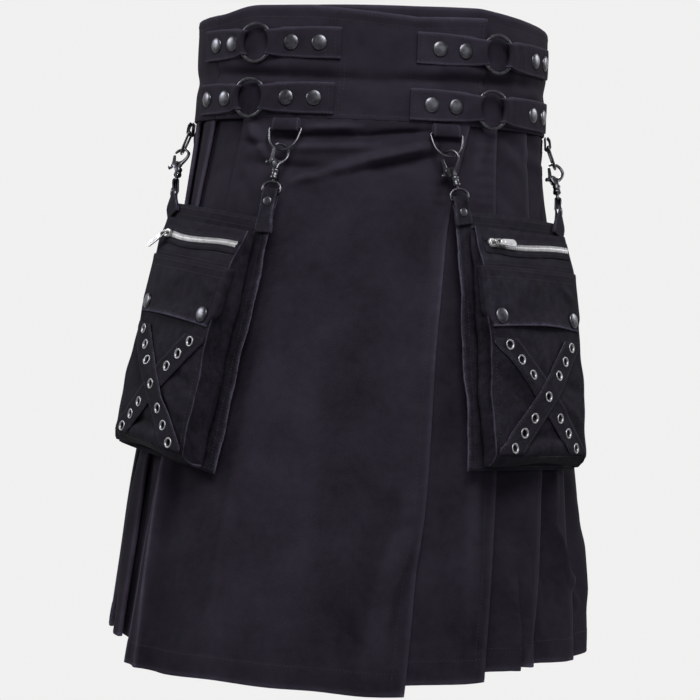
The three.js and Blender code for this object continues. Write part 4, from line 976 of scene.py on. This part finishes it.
class Pocket:
    """A pocket's own directions (u across, v down and w out of its back) and its names."""

    def __init__(self, side):
        self.side, self.form = side, POCKETS[side]
        self.forward = -math.copysign(1, self.form["angle"])
        angle, turn = self.form["angle"], self.form["facing"] * RAD
        outward = np.array([math.sin(turn), -math.cos(turn), 0])
        level = np.array([math.cos(turn), math.sin(turn), 0])
        start, low = (on_form(angle, self.form["top"] + more, look=read) for more in (0, BAG_BOTTOM))
        drop = unit(np.array([0, 0, -1.0]) + outward * ((low - start) @ outward / BAG_BOTTOM))
        w = unit(np.cross(drop, level))
        roll = Matrix.Rotation(-self.form["roll"] * RAD, 3, Vector(w))
        u, v = (np.array(roll @ Vector(way)) for way in (level, drop))
        self.axes = (start + w * self.form["stand"], u, v, w)

    def name(self, part):
        return "pocket_" + self.side + "_" + part

    def sew(self, cloth, *lines):
        sew("pocket_" + self.side, cloth, *lines)

    def at(self, u, v, w):
        u, v, w = np.broadcast_arrays(*(np.asarray(x, float)[..., None] for x in (u, v, w)))
        return put(self.axes, u, v, w)

    def bag(self, u, v):
        """How far the bag's front stands out."""
        ease = BAG_EASE * smooth((200 - v) / 20) * smooth(v / 8)
        share, swell = (eased_read(BAG_PROFILE, column, v, ease) for column in ("share", "swell"))
        rounded = np.maximum(0, 1 - (u / BAG_HALF) ** 2)
        depth = self.form["depth"] + self.form["wedge"] * u / BAG_HALF
        return depth * share + self.form["bulge"] * swell * rounded

    def on_bag(self, u, v, lift=0.0):
        """A place over the bag's front: where, across, down and outward."""

        def at(du, dv):
            return self.at(u + du, v + dv, self.bag(u + du, v + dv))

        x = unit(at(3, 0) - at(-3, 0))
        z = unit(np.cross(at(0, 3) - at(0, -3), x))
        return at(0, 0) + z * lift, x, np.cross(z, x), z


def back_level(u):
    return -BACK_CURVE * u * u


def make_back(pocket):
    v = np.linspace(BACK_TOP, BACK_BOTTOM, 60)[:, None]
    u = np.linspace(-BACK_HALF, BACK_HALF, 46)[None, :]
    edge = smooth((np.abs(u) - BAG_HALF - 1) / 6)
    wave = edge * (1.3 * np.sin(v * 0.055 + u * 0.02) + 0.7 * np.sin(v * 0.13))
    wave = wave + puckered(v, np.abs(u) - 72, 5, 0.5, 1)
    drawn = 1 - 0.02 * smooth((v - 120) / 100) * np.sin(v * 0.05)
    grid, wear_and_highlight = pocket.at(u * drawn, v, back_level(u) + wave * 0.8), 0.6 * bell(BACK_HALF - np.abs(u), 2.0)
    cloth = Cloth(pocket.name("back_cloth"), grid, wear_and_highlight=wear_and_highlight)
    cloth.build(POCKET_CLOTH, replaces=[pocket.name("back")], held="hung", rests_on=["over_apron_cloth"])
    pocket.sew(cloth, *((0.012, column, 0.988, column) for column in (0.018, 0.05, 0.95, 0.982)))
    pocket.sew(cloth, *((row, 0.018, row, 0.982) for row in (0.012, 0.04, 0.988)))


def make_bag(pocket):
    behind, share = TWILL / 2 + LIE, np.array([0, 0.2, 0.4, 0.6, 0.8, 1.0])
    v = np.concatenate([[0.0], spaced(0, 205, 62, [31.0]), [207, 209.5, 212, 213.8, 215, 215]])
    front = np.concatenate([[1.6 - BAG_HALF], np.linspace(-62, 62, 44), [BAG_HALF - 1.6]])
    rows = []
    for i, depth in enumerate(v):
        relief = creased(front, depth, BAG_CREASES)
        relief *= smooth((depth - 95) / 20) * smooth((BAG_BOTTOM - depth) / 6)
        relief += 0.55 * bell(depth - 31, 2.6) + puckered(front, depth - 208, 7, 0.6, 2)
        relief += puckered(depth, np.abs(front) - 60, 6, 0.5) * smooth((depth - 96) / 8)
        relief += puckered(front, depth - 8, 6, 0.4)
        pinch = 0.9 * smooth((depth - 6) / 20) * smooth((212 - depth) / 10)
        sides = []
        for sign in (-1, 1):
            level = float(pocket.bag(sign * BAG_HALF, depth))
            bow = np.sin(math.pi * share)
            sag = 1.8 * bow * math.sin(0.045 * depth + sign) - 1.2 * bow
            us = sign * (BAG_HALF + np.append(sag, pinch * 0.6))
            sides.append((us, np.append(mix(behind, level - 1.2, share), level + pinch)))
        (left, left_level), (right, right_level) = sides
        us = np.concatenate([left, front, right[::-1]])
        ws = np.concatenate([left_level, pocket.bag(front, depth) + relief, right_level[::-1]])
        if i in (0, len(v) - 1):
            ws = np.clip(ws, behind, behind + 0.8)
        loose = smooth(depth / 25) * smooth((BAG_BOTTOM - depth) / 12)
        us = us + loose * (0.9 * np.sin(depth * 0.085 + us * 0.03) + 0.5 * np.sin(depth * 0.19 + 1.0))
        us = us * (1 + 0.012 * math.sin(depth * 0.05) * loose)
        sag = 1.5 * smooth((depth - 170) / 40) * np.sin(us * 0.055 + pocket.form["angle"])
        rows.append(pocket.at(us, depth + sag, ws))
    grid = np.array(rows)
    grid[0] = grid[1] * BAG_CLOSING + grid[0] * (1 - BAG_CLOSING)
    wear_and_highlight = np.zeros(grid.shape[1])
    wear_and_highlight[[len(share), -len(share) - 1]] = 0.8
    cloth = Cloth(pocket.name("bag_cloth"), grid, sides=(0.0, -BAG_CLOTH), wear_and_highlight=wear_and_highlight)
    cloth.build(POCKET_CLOTH, replaces=[pocket.name("bag")], rests_on=[pocket.name("back_cloth")])
    shares = np.linspace(0, 1, 120)
    for first_u, first_v, last_u, last_v in BAG_SEAMS:
        u, v = mix(first_u, last_u, shares), mix(first_v, last_v, shares)
        at, _, _, out = pocket.on_bag(u, v, 0.1)
        stitch("pocket_" + pocket.side, at + out * np.maximum(creased(u, v, BAG_CREASES), 0)[:, None], out)


def make_flap(pocket):
    v = np.concatenate([np.linspace(FLAP_TOP, 84, 26), np.linspace(85.5, FLAP_BOTTOM, 8)])[:, None]
    tucks = np.array([6.5, 5.0, 3.4, 1.9, 0.8])
    count, full = len(tucks), np.linspace(-66.5, 66.5, 40)
    low = smooth((v - 74) / (FLAP_BOTTOM - 74))
    spread = np.concatenate([np.full(count, -FLAP_HALF), full, np.full(count, FLAP_HALF)])
    us = spread * (FLAP_HALF - 7.0 * low**1.6) / FLAP_HALF
    tuck = np.concatenate([tucks, 0 * full, tucks[::-1]]) * (1 - 0.55 * low)
    stand = low * (2.4 * np.maximum(0, 1 - (us / 50.0) ** 2) + 0.8)
    relief = np.maximum(creased(us, v, FLAP_CREASES) * smooth((v - FLAP_TOP) / 10), -0.3)
    pinned = 0.2 * (bell(us + FLAP_CAP["u"], 9) + bell(us - FLAP_CAP["u"], 9)) * bell(v - FLAP_CAP["v"], 8)
    ripple = low * (puckered(us, v - 88, 5, 0.7, 1) + 0.8 * np.sin(us * 0.075 + 1))
    level = pocket.bag(us, v) + LIE + TWILL / 2 + 0.5 * bell(v - 39, 3.0)
    level = level + stand + relief + ripple - pinned - tuck
    fall = -2.2 * low * np.cos(us / FLAP_HALF * math.pi / 2)
    grid, wear_and_highlight = pocket.at(us, v + fall, level), 0.7 * bell(FLAP_BOTTOM - v, 2.5)
    cloth = Cloth(pocket.name("flap_cloth"), grid, wear_and_highlight=wear_and_highlight)
    rests_on = [pocket.name("bag_cloth")]
    cloth.build(POCKET_CLOTH, replaces=[pocket.name("flap")], held="hung", rests_on=rests_on)
    pocket.sew(cloth, (0.05, 0.11, 0.05, 0.89), (0.16, 0.11, 0.16, 0.89), (0.9, 0.13, 0.9, 0.87))
    pocket.sew(cloth, *((0.06, column, 0.9, column) for column in (0.125, 0.875)))
    for end, way in (("front", 1), ("rear", -1)):
        seat = pocket.on_bag(way * pocket.forward * FLAP_CAP["u"], FLAP_CAP["v"], LIE + TWILL + CAP_SINKS)
        add_shapes(pocket.name("stud_" + end), [snap_cap(seat[0], seat[3])], node=pocket.name("snap_" + end))


def cut_holes(piece, spots, axis, radius):
    """Round holes through a piece, at points in millimetres."""
    profile = [(0, -6), (radius, -6), (radius, 6), (0, 6)]
    cutter = new_object("cutter", *joined([lathe(profile, at, axis, 20) for at in spots]))
    tool = piece.modifiers.new("holes", "BOOLEAN")
    tool.operation, tool.solver, tool.object = "DIFFERENCE", "EXACT", cutter
    bpy.context.view_layer.update()
    made = bpy.data.meshes.new_from_object(piece.evaluated_get(bpy.context.evaluated_depsgraph_get()))
    piece.modifiers.clear()
    piece.data = made
    bpy.data.objects.remove(cutter)


def eyelet(at, axis):
    """A rolled flange and the barrel that goes down through the cloth."""
    return turned_ring(EYELET_SHAPE[::-1], at, axis, 26)


def make_cross(pocket):
    end = CROSS["end"]
    share, across = np.linspace(-end, end, 54)[:, None], np.linspace(-1, 1, 11)[None, :]
    shares = [-s for s in EYELETS["shares"][::-1]] + [0.0] + EYELETS["shares"]
    rings = []
    for name, lean in (("under", -pocket.form["over"]), ("over", pocket.form["over"])):
        u = np.clip(share * EYELETS["u"] * lean + across * CROSS["half"], -CROSS["limit"], CROSS["limit"])
        v = CROSS["middle"] + share * EYELETS["v"] + 0 * across
        hump = 1.25 * np.exp(-((share / 0.42) ** 4)) * (name == "over")
        relief = np.maximum(creased(u, v, BAG_CREASES), 0) + 0.25 * bell(np.abs(across) - 0.86, 0.1)
        grid = pocket.at(u, v, pocket.bag(u, v) + CROSS["clear"] + TWILL / 2 + relief + hump)
        cloth = Cloth(pocket.name("band_" + name), grid, wear_and_highlight=0.4 * (np.abs(across) > 0.95))
        piece = cloth.build(POCKET_CLOTH, rests_on=[pocket.name("bag_cloth")])
        seats = [cloth.sample((s / end + 1) / 2, 0.5) for s in shares]
        cut_holes(piece, [at for at, _ in seats], pocket.axes[3], EYELETS["hole"])
        rings += [eyelet(*seat) for s, seat in zip(shares, seats) if name == "over" or s]
        pocket.sew(cloth, *((0.02, column, 0.98, column) for column in (0.09, 0.91)))
        if name == "under":
            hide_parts(pocket.name("cross"))
    add_shapes(pocket.name("eyelets"), rings, EYELET_METAL, crease=180)


def zip_sag(u):
    """How far the zip lies below its straight line, beyond its slider."""
    return 1.5 * np.sin((u - SLIDER_U) * 0.047) * smooth((u - SLIDER_U - 6) / 14)


def make_zip(pocket):
    half, end = ZIP["half"], ZIP["end"]
    u = np.concatenate([[-half - 3], np.linspace(-half, end, 60), [end + 2.4]])[None, :]
    away = np.array([-8.5, -7.2, -5.5, -4.2, -3.4, -2.9, -2.6, 0, 2.6, 2.9, 3.4, 4.2, 5.5, 7.2, 8.5])[:, None]
    rise = np.interp(np.abs(away), [0, 2.6, 2.9, 3.4, 5.5, 8.5], [0.1, 0.1, 0.95, 1.2, 0.95, 0.25])
    ends = smooth((u + half + 3) / 4) * smooth((end + 2.4 - u) / 3)
    v = ZIP["v"] + zip_sag(u) + away * (0.9 + 0.1 * ends)
    lips = rise * (0.3 + 0.7 * ends) + 0.15 * np.sin(u * 0.3) * (np.abs(away) > 2.8)
    tape = Cloth(pocket.name("zip_tape"), pocket.at(u, v, pocket.bag(u, v) + 0.35 + lips), 0.6)
    tape.build(POCKET_CLOTH, replaces=[pocket.name("zip")], rests_on=[pocket.name("bag_cloth")])
    pocket.sew(tape, *((row, 0.03, row, 0.97) for row in (0.16, 0.84)))
    teeth = []
    for i, along in enumerate(np.arange(2 - half, end - 0.5, ZIP["pitch"])):
        above = 1 if i % 2 else -1
        at, x, y, z = pocket.on_bag(along, ZIP["v"] + zip_sag(along), LIE + ZIP["thick"] / 2 + 0.15)
        teeth.append(slab(TOOTH, 1.5, (at - y * above * 0.6, x, y * above, z * above), 0.18))
    add_shapes(pocket.name("zip_teeth"), teeth, BRIGHT)


def make_slider(pocket):
    at, x, y, z = pocket.on_bag(SLIDER_U, ZIP["v"])
    turn = -pocket.form["pull"] * RAD
    origin = at + z * (LIE + ZIP["thick"] + SLIDER_STANDS)
    px, py = x * math.cos(turn) + y * math.sin(turn), -x * math.sin(turn) + y * math.cos(turn)
    body = [(-4.3, -2.2), (-3.2, -3.9), (0.4, -3.9), (4.3, -2.9)]
    body += [(a, -b) for a, b in body[::-1]]
    neck = [(-4.1, -1.1), (-2.0, -1.6), (-2.0, 1.6), (-4.1, 1.1)]
    plates = ((body, 1.1, 1.75, 0.3), (body, 0.9, 0.3, 0.2), (neck, 1.6, 1.0, 0.1))
    shapes = []
    for outline, thick, rise, soften in plates:
        shapes.append(slab(outline, thick, (origin + z * rise, x, y, z), soften))
    hoop = [(-1.5, 2.2), (-1.45, 4.2), (-0.8, 5.5), (0.8, 5.5), (1.45, 4.2), (1.5, 2.2)]
    path = curve_through([origin + px * a + z * h for a, h in hoop], 4)
    shapes.append(tube(path, 0.62, 10, False, py, 1.5))
    add_shapes(pocket.name("runner"), shapes, BRIGHT, node=pocket.name("slider"))
    pin = (origin + z * 4.5, px, py, z)
    shapes = []
    for sign in (-1, 1):
        path = [put(pin, a, sign * b) for a, b in ((0, 1.95), (3.2, 2.05), (6.2, 2.5), (8.6, 1.7))]
        shapes.append(tube(curve_through(path, 4), 0.78, 10, False, z))
    shapes.append(tube([put(pin, 0, b) for b in (-2.1, 0, 2.1)], 0.72, 12, False, z))
    end = [(24 + 3.6 * math.cos(t), 3.6 * math.sin(t)) for t in np.arange(-80, 81, 20) * RAD]
    shapes.append(slab([(7.4, 2.4), (6.6, 0), (7.4, -2.4), (10, -3.1)] + end + [(10, 3.1)], 1.4, pin, 0.35))
    shapes.append(slab([(12, -1.3), (22, -1.6), (23.4, 0), (22, 1.6), (12, 1.3)], 1.9, pin, 0.3))
    body = "pull_" + pocket.side
    add_shapes(pocket.name("puller"), shapes, BRIGHT, body, node=pocket.name("pull"))


def make_hanger(name, hanger, pocket):
    level = hanger["base"] + LIE + LOOP_CLOTH + LOOP_CLEAR + D_WIRE
    place = place_frame(hanger["angle"], BAR_DEPTH, level)
    at, along, down, outward = place
    leaning = down * math.cos(D_LEAN * RAD) + outward * math.sin(D_LEAN * RAD)
    bar = [put(place, a * D_HALF, 0) for a in (-1, -0.5, 0, 0.5, 1)]
    turns = [math.pi * (i + 0.5) / D_STEPS for i in range(D_STEPS)]
    arc = [at + along * D_HALF * math.cos(t) + leaning * D_DROP * math.sin(t) ** D_FULLNESS for t in turns]
    loop = tube(curve_through(bar + arc, 6, closed=True), D_WIRE, 12, True, np.cross(leaning, along))
    add_shapes("d_" + name, [loop], crease=180, node="d_ring_" + name)
    make_loop(name, place)
    lowest = at + leaning * D_DROP
    side = 1 if name.endswith("front") else -1
    u = side * pocket.forward * RIVET_U
    normal = unit(pocket.axes[3] + pocket.axes[1] * 2 * BACK_CURVE * u)
    seat = pocket.at(u, RIVET_V, back_level(u)) + normal * TWILL / 2
    y = seat + normal * RIVET_AIM - lowest
    span = np.linalg.norm(y)
    y = y / span
    across = unit(np.cross(y, outward))
    face = unit(np.cross(across, y))
    turn = hanger["turn"] * RAD
    z = face * math.cos(turn) + across * math.sin(turn)
    origin = lowest + y * WIRE_IN_JAW
    make_hook(name, (origin, np.cross(y, z), y, z))
    make_trigger(name, (origin, np.cross(y, z), y, z))
    eye = (origin, across, y, face)
    make_eye(name, eye)
    make_tab(name, pocket, seat, normal, eye, span - WIRE_IN_JAW - EYE_BAR)


def make_loop(name, place):
    turned = D_WIRE + LOOP_CLEAR + LOOP_CLOTH / 2
    snug, top = SNUG * turned, BAND_DEPTH - BAR_DEPTH + LOOP_TOP_GAP
    path = [(top, 1.6 * LOOP_CLOTH + LIE - snug), (top / 2 - 2, 0.75 * turned), (-LOOP_STRAIGHT, snug)]
    path += [(turned * math.cos(t), turned * math.sin(t)) for t in np.arange(72, -73, -18) * RAD]
    path += [(-LOOP_STRAIGHT, -snug), (top, -snug)]
    shares = np.array([1, 0.93, 0.8, 0.6, 0.3, 0, -0.3, -0.6, -0.8, -0.93, -1])
    grid = [[put(place, s * LOOP_WIDTH / 2 * (1 - 0.006 * abs(d)), d, o) for d, o in path] for s in shares]
    cloth = Cloth("d_loop_" + name + "_cloth", grid, LOOP_CLOTH, wear_and_highlight=0.4 * (np.abs(shares) > 0.9)[:, None])
    cloth.build(replaces=["d_loop_" + name], held="folded", rests_on=["d_" + name])
    sew("loops", cloth, (0.12, 0.06, 0.88, 0.06))


def make_hook(name, place):
    origin, x, y, z = place

    def ring(*degrees):
        return [(JAW_MIDDLE * math.cos(turn * RAD), JAW_MIDDLE * math.sin(turn * RAD)) for turn in degrees]

    jaw = ring(318, 300, 280, 260, 240, 220, 200, 182) + [(-7.2, 3.6), (-4.2, 7.6), (-1.0, 11.2), (0, 16.5)]
    path = curve_through([put(place, a, b) for a, b in jaw], 3)
    thick = np.interp(np.arange(len(path)), [0, 4, 24, len(path) - 1], [1.15, 1.45, 1.5, 2.3])
    crown = curve_through([put(place, a, b) for a, b in ring(128, 108, 88, 70)], 3)
    shapes = [tube(path, thick, 14, False, z), tube(crown, 1.3, 12, False, z)]
    cheek = [(1.4, 7.4), (4.2, 6.9), (7.0, 7.6), (7.5, 9.4), (6.8, 11.6), (4.4, 15.6), (1.4, 15.8)]
    shapes += [slab(cheek, 1.0, (origin + z * rise, x, y, z)) for rise in (-1.75, 1.75)]
    shapes.append(slab([(-1.5, 12.5), (4.6, 13.2), (3.4, 16.6), (-1.5, 16.6)], 3.2, place, 0.3))
    pin = [(0, -2.5), (1.2, -2.45), (1.45, -2.2), (1.45, 2.2), (1.2, 2.45), (0, 2.5)]
    shapes.append(lathe(pin, put(place, GATE["x"], GATE["y"]), z, 16))
    r = BARREL_RADIUS
    barrel = [(0, 15.4), (2.3, 15.4), (r - 0.5, 16.2), (r, 17.0), (r, 18.2), (r - 0.45, 18.7)]
    barrel += [(r - 0.45, 22.3), (r, 22.8), (r + 0.1, 24.6), (r - 0.3, 25.3)]
    barrel += [(2.4, 25.6), (1.9, 25.2), (1.9, 24.4), (0, 24.2)]
    shapes.append(lathe(barrel, origin, y, 24))
    add_shapes("snap_hook_" + name, shapes, body="swivel_" + name, crease=50, node="hook_" + name)


def make_trigger(name, place):
    origin, x, y, z = place
    gate, reach = put(place, GATE["x"], GATE["y"]), GATE["reach"]
    bar = [(-1.5, -1.4), (-0.3, -reach), (0.5, -reach - 0.4), (1.9, -reach), (2.1, -1.6)]
    bar += [(3.5, 3.4), (2.3, 4.2), (-0.3, 1.8)]
    arm = slab(bar, 1.8, (gate, x, y, z), 0.3)
    knob = [(0, -1.4), (1.2, -1.4), (1.55, -0.9), (1.3, 0.0), (1.5, 0.5)]
    knob += [(2.0, 1.0), (2.0, 1.6), (1.5, 2.1), (0, 2.3)]
    stud = lathe(knob, gate + x * 3.2 + y * 3.0, x, 18)
    add_shapes("snap_gate_" + name, [arm, stud], body="gate_" + name, node="trigger_" + name)


def make_eye(name, place):
    top, bar, half, shoulder = BARREL_END + EYE_TOP, EYE_BAR, EYE_HALF, EYE_HALF * 0.55
    corners = [(1 - half, bar), (0, bar), (half - 1, bar), (half, bar - 1.6), (half - 0.4, bar - 5)]
    corners += [(shoulder, top + 1), (0, top), (-shoulder, top + 1)]
    corners += [(0.4 - half, bar - 5), (-half, bar - 1.6)]
    path = curve_through([put(place, a, b) for a, b in corners], 5, closed=True)
    loop = tube(path, EYE_WIRE, 12, True, place[3])
    post = tube([put(place, 0, b) for b in (BARREL_END - 3.5, BARREL_END, top)], 1.5, 14, False, place[3])
    add_shapes("swivel_eye_" + name, [loop, post], crease=60, node="eye_" + name)


def make_tab(name, pocket, seat, normal, eye, length):
    _, across, down, _ = eye
    up = unit(normal * (down @ normal) - down)
    width = unit(np.cross(up, normal))
    turned, straight = EYE_WIRE + LOOP_CLEAR + TWILL / 2, min(4.0, length / 3)
    lower, upper = LIE + TWILL / 2, 2 * LIE + 1.5 * TWILL
    panel, rises = (seat, width, up, normal), (-TAB_END, 0, RIVET_RISE)
    turns = np.arange(105, 256, 25) * RAD
    round_bar = [(turned * math.cos(t), turned * math.sin(t)) for t in turns]
    round_bar = [(straight, SNUG * turned), *round_bar, (straight, -SNUG * turned)]
    round_bar = [put(eye, 0, EYE_BAR + d, o) for d, o in round_bar]
    path = [put(panel, 0, rise, upper) for rise in rises] + round_bar
    path += [put(panel, 0, rise, lower) for rise in rises[::-1]]
    bar_width = across * math.copysign(1, across @ width)
    middles = curve_through(path, 3)
    widths = unit(curve_through([width] * 3 + [bar_width] * len(round_bar) + [width] * 3, 3))
    shares = np.array([-1, -0.92, -0.7, -0.35, 0, 0.35, 0.7, 0.92, 1])
    offset = middles - seat
    low = smooth(1 - np.linalg.norm(offset - normal * (offset @ normal)[:, None], axis=1) / 16)
    halves = TAB_HALF * (1 + 0.32 * low)
    grid = np.array([middles + widths * (s * halves)[:, None] for s in shares])
    end, wear_and_highlight = name.split("_")[1], 0.4 * (np.abs(shares) > 0.9)[:, None]
    cloth = Cloth(pocket.name("strap_" + end), grid, wear_and_highlight=wear_and_highlight)
    if cloth.normal[4, 2] @ normal < 0:
        cloth = Cloth(cloth.name, grid[::-1], wear_and_highlight=wear_and_highlight)
    node = pocket.name("tab_" + end)
    cloth.build(POCKET_CLOTH, replaces=[node], held="folded", rests_on=["swivel_eye_" + name])
    pocket.sew(cloth, (0.14, 0.03, 0.14, 0.3), (0.86, 0.03, 0.86, 0.3), (0.14, 0.03, 0.86, 0.03))
    run = np.linalg.norm(middles - round_bar[0], axis=1)
    spot = int(np.argmin(np.abs(run[: int(np.argmin(run)) + 1] - RIVET_BELOW)))
    out = cloth.normal[4, spot]
    cap = snap_cap(cloth.middle[4, spot] + out * (TWILL / 2 - 0.2), out, RIVET)
    add_shapes(node + "_rivet", [cap])


def make_camera():
    data = bpy.data.cameras.new("camera")
    data.sensor_width, data.lens, data.clip_end = SENSOR, FOCAL_PIXELS / IMAGE_PIXELS * SENSOR, 50
    forward = (TARGET - EYE).normalized()
    right = forward.cross(Vector((0, 0, 1))).normalized()
    up = right.cross(forward)
    turn = ROLL * RAD
    right, up = right * math.cos(turn) + up * math.sin(turn), up * math.cos(turn) - right * math.sin(turn)
    matrix = Matrix((right, up, -forward)).transposed().to_4x4()
    matrix.translation = EYE * MM
    camera = bpy.data.objects.new("camera", data)
    camera.matrix_world = matrix
    bpy.context.scene.collection.objects.link(camera)
    bpy.context.scene.camera = camera


def make_lights():
    for name, start, size, power, colour in LIGHTS:
        data = bpy.data.lights.new(name, "AREA")
        data.shape, data.size, data.energy, data.color = "DISK", size * MM, power, colour
        light = bpy.data.objects.new(name, data)
        light.location = Vector(start) * MM
        light.rotation_euler = (LIGHTS_AIM - Vector(start)).to_track_quat("-Z", "Y").to_euler()
        bpy.context.scene.collection.objects.link(light)
    world = bpy.data.worlds.new("studio")
    world.use_nodes = True
    background = world.node_tree.nodes["Background"]
    background.inputs["Color"].default_value = (*PALE, 1)
    background.inputs["Strength"].default_value = 1.0
    bpy.context.scene.world = world
    bpy.context.scene.view_settings.view_transform = "Standard"


def make_floor():
    radius = FLOOR["radius"]
    profile, middle = [(0, -1), (radius, -1), (radius, 0), (0, 0)], np.array([0, 0, -FLOOR["depth"]])
    floor = new_object("floor", *lathe(profile, middle, (0, 0, 1), 96))
    floor.data.materials.append(floor_material())


make_camera()
make_lights()
make_floor()
make_waistband()
make_aprons()
make_pleats()
make_straps()
for side in POCKETS:
    pocket = Pocket(side)
    for make in (make_back, make_bag, make_flap, make_cross, make_zip, make_slider):
        make(pocket)
    for name, hanger in HANGERS.items():
        if name.startswith(side):
            make_hanger(name, hanger, pocket)
finish_threads()
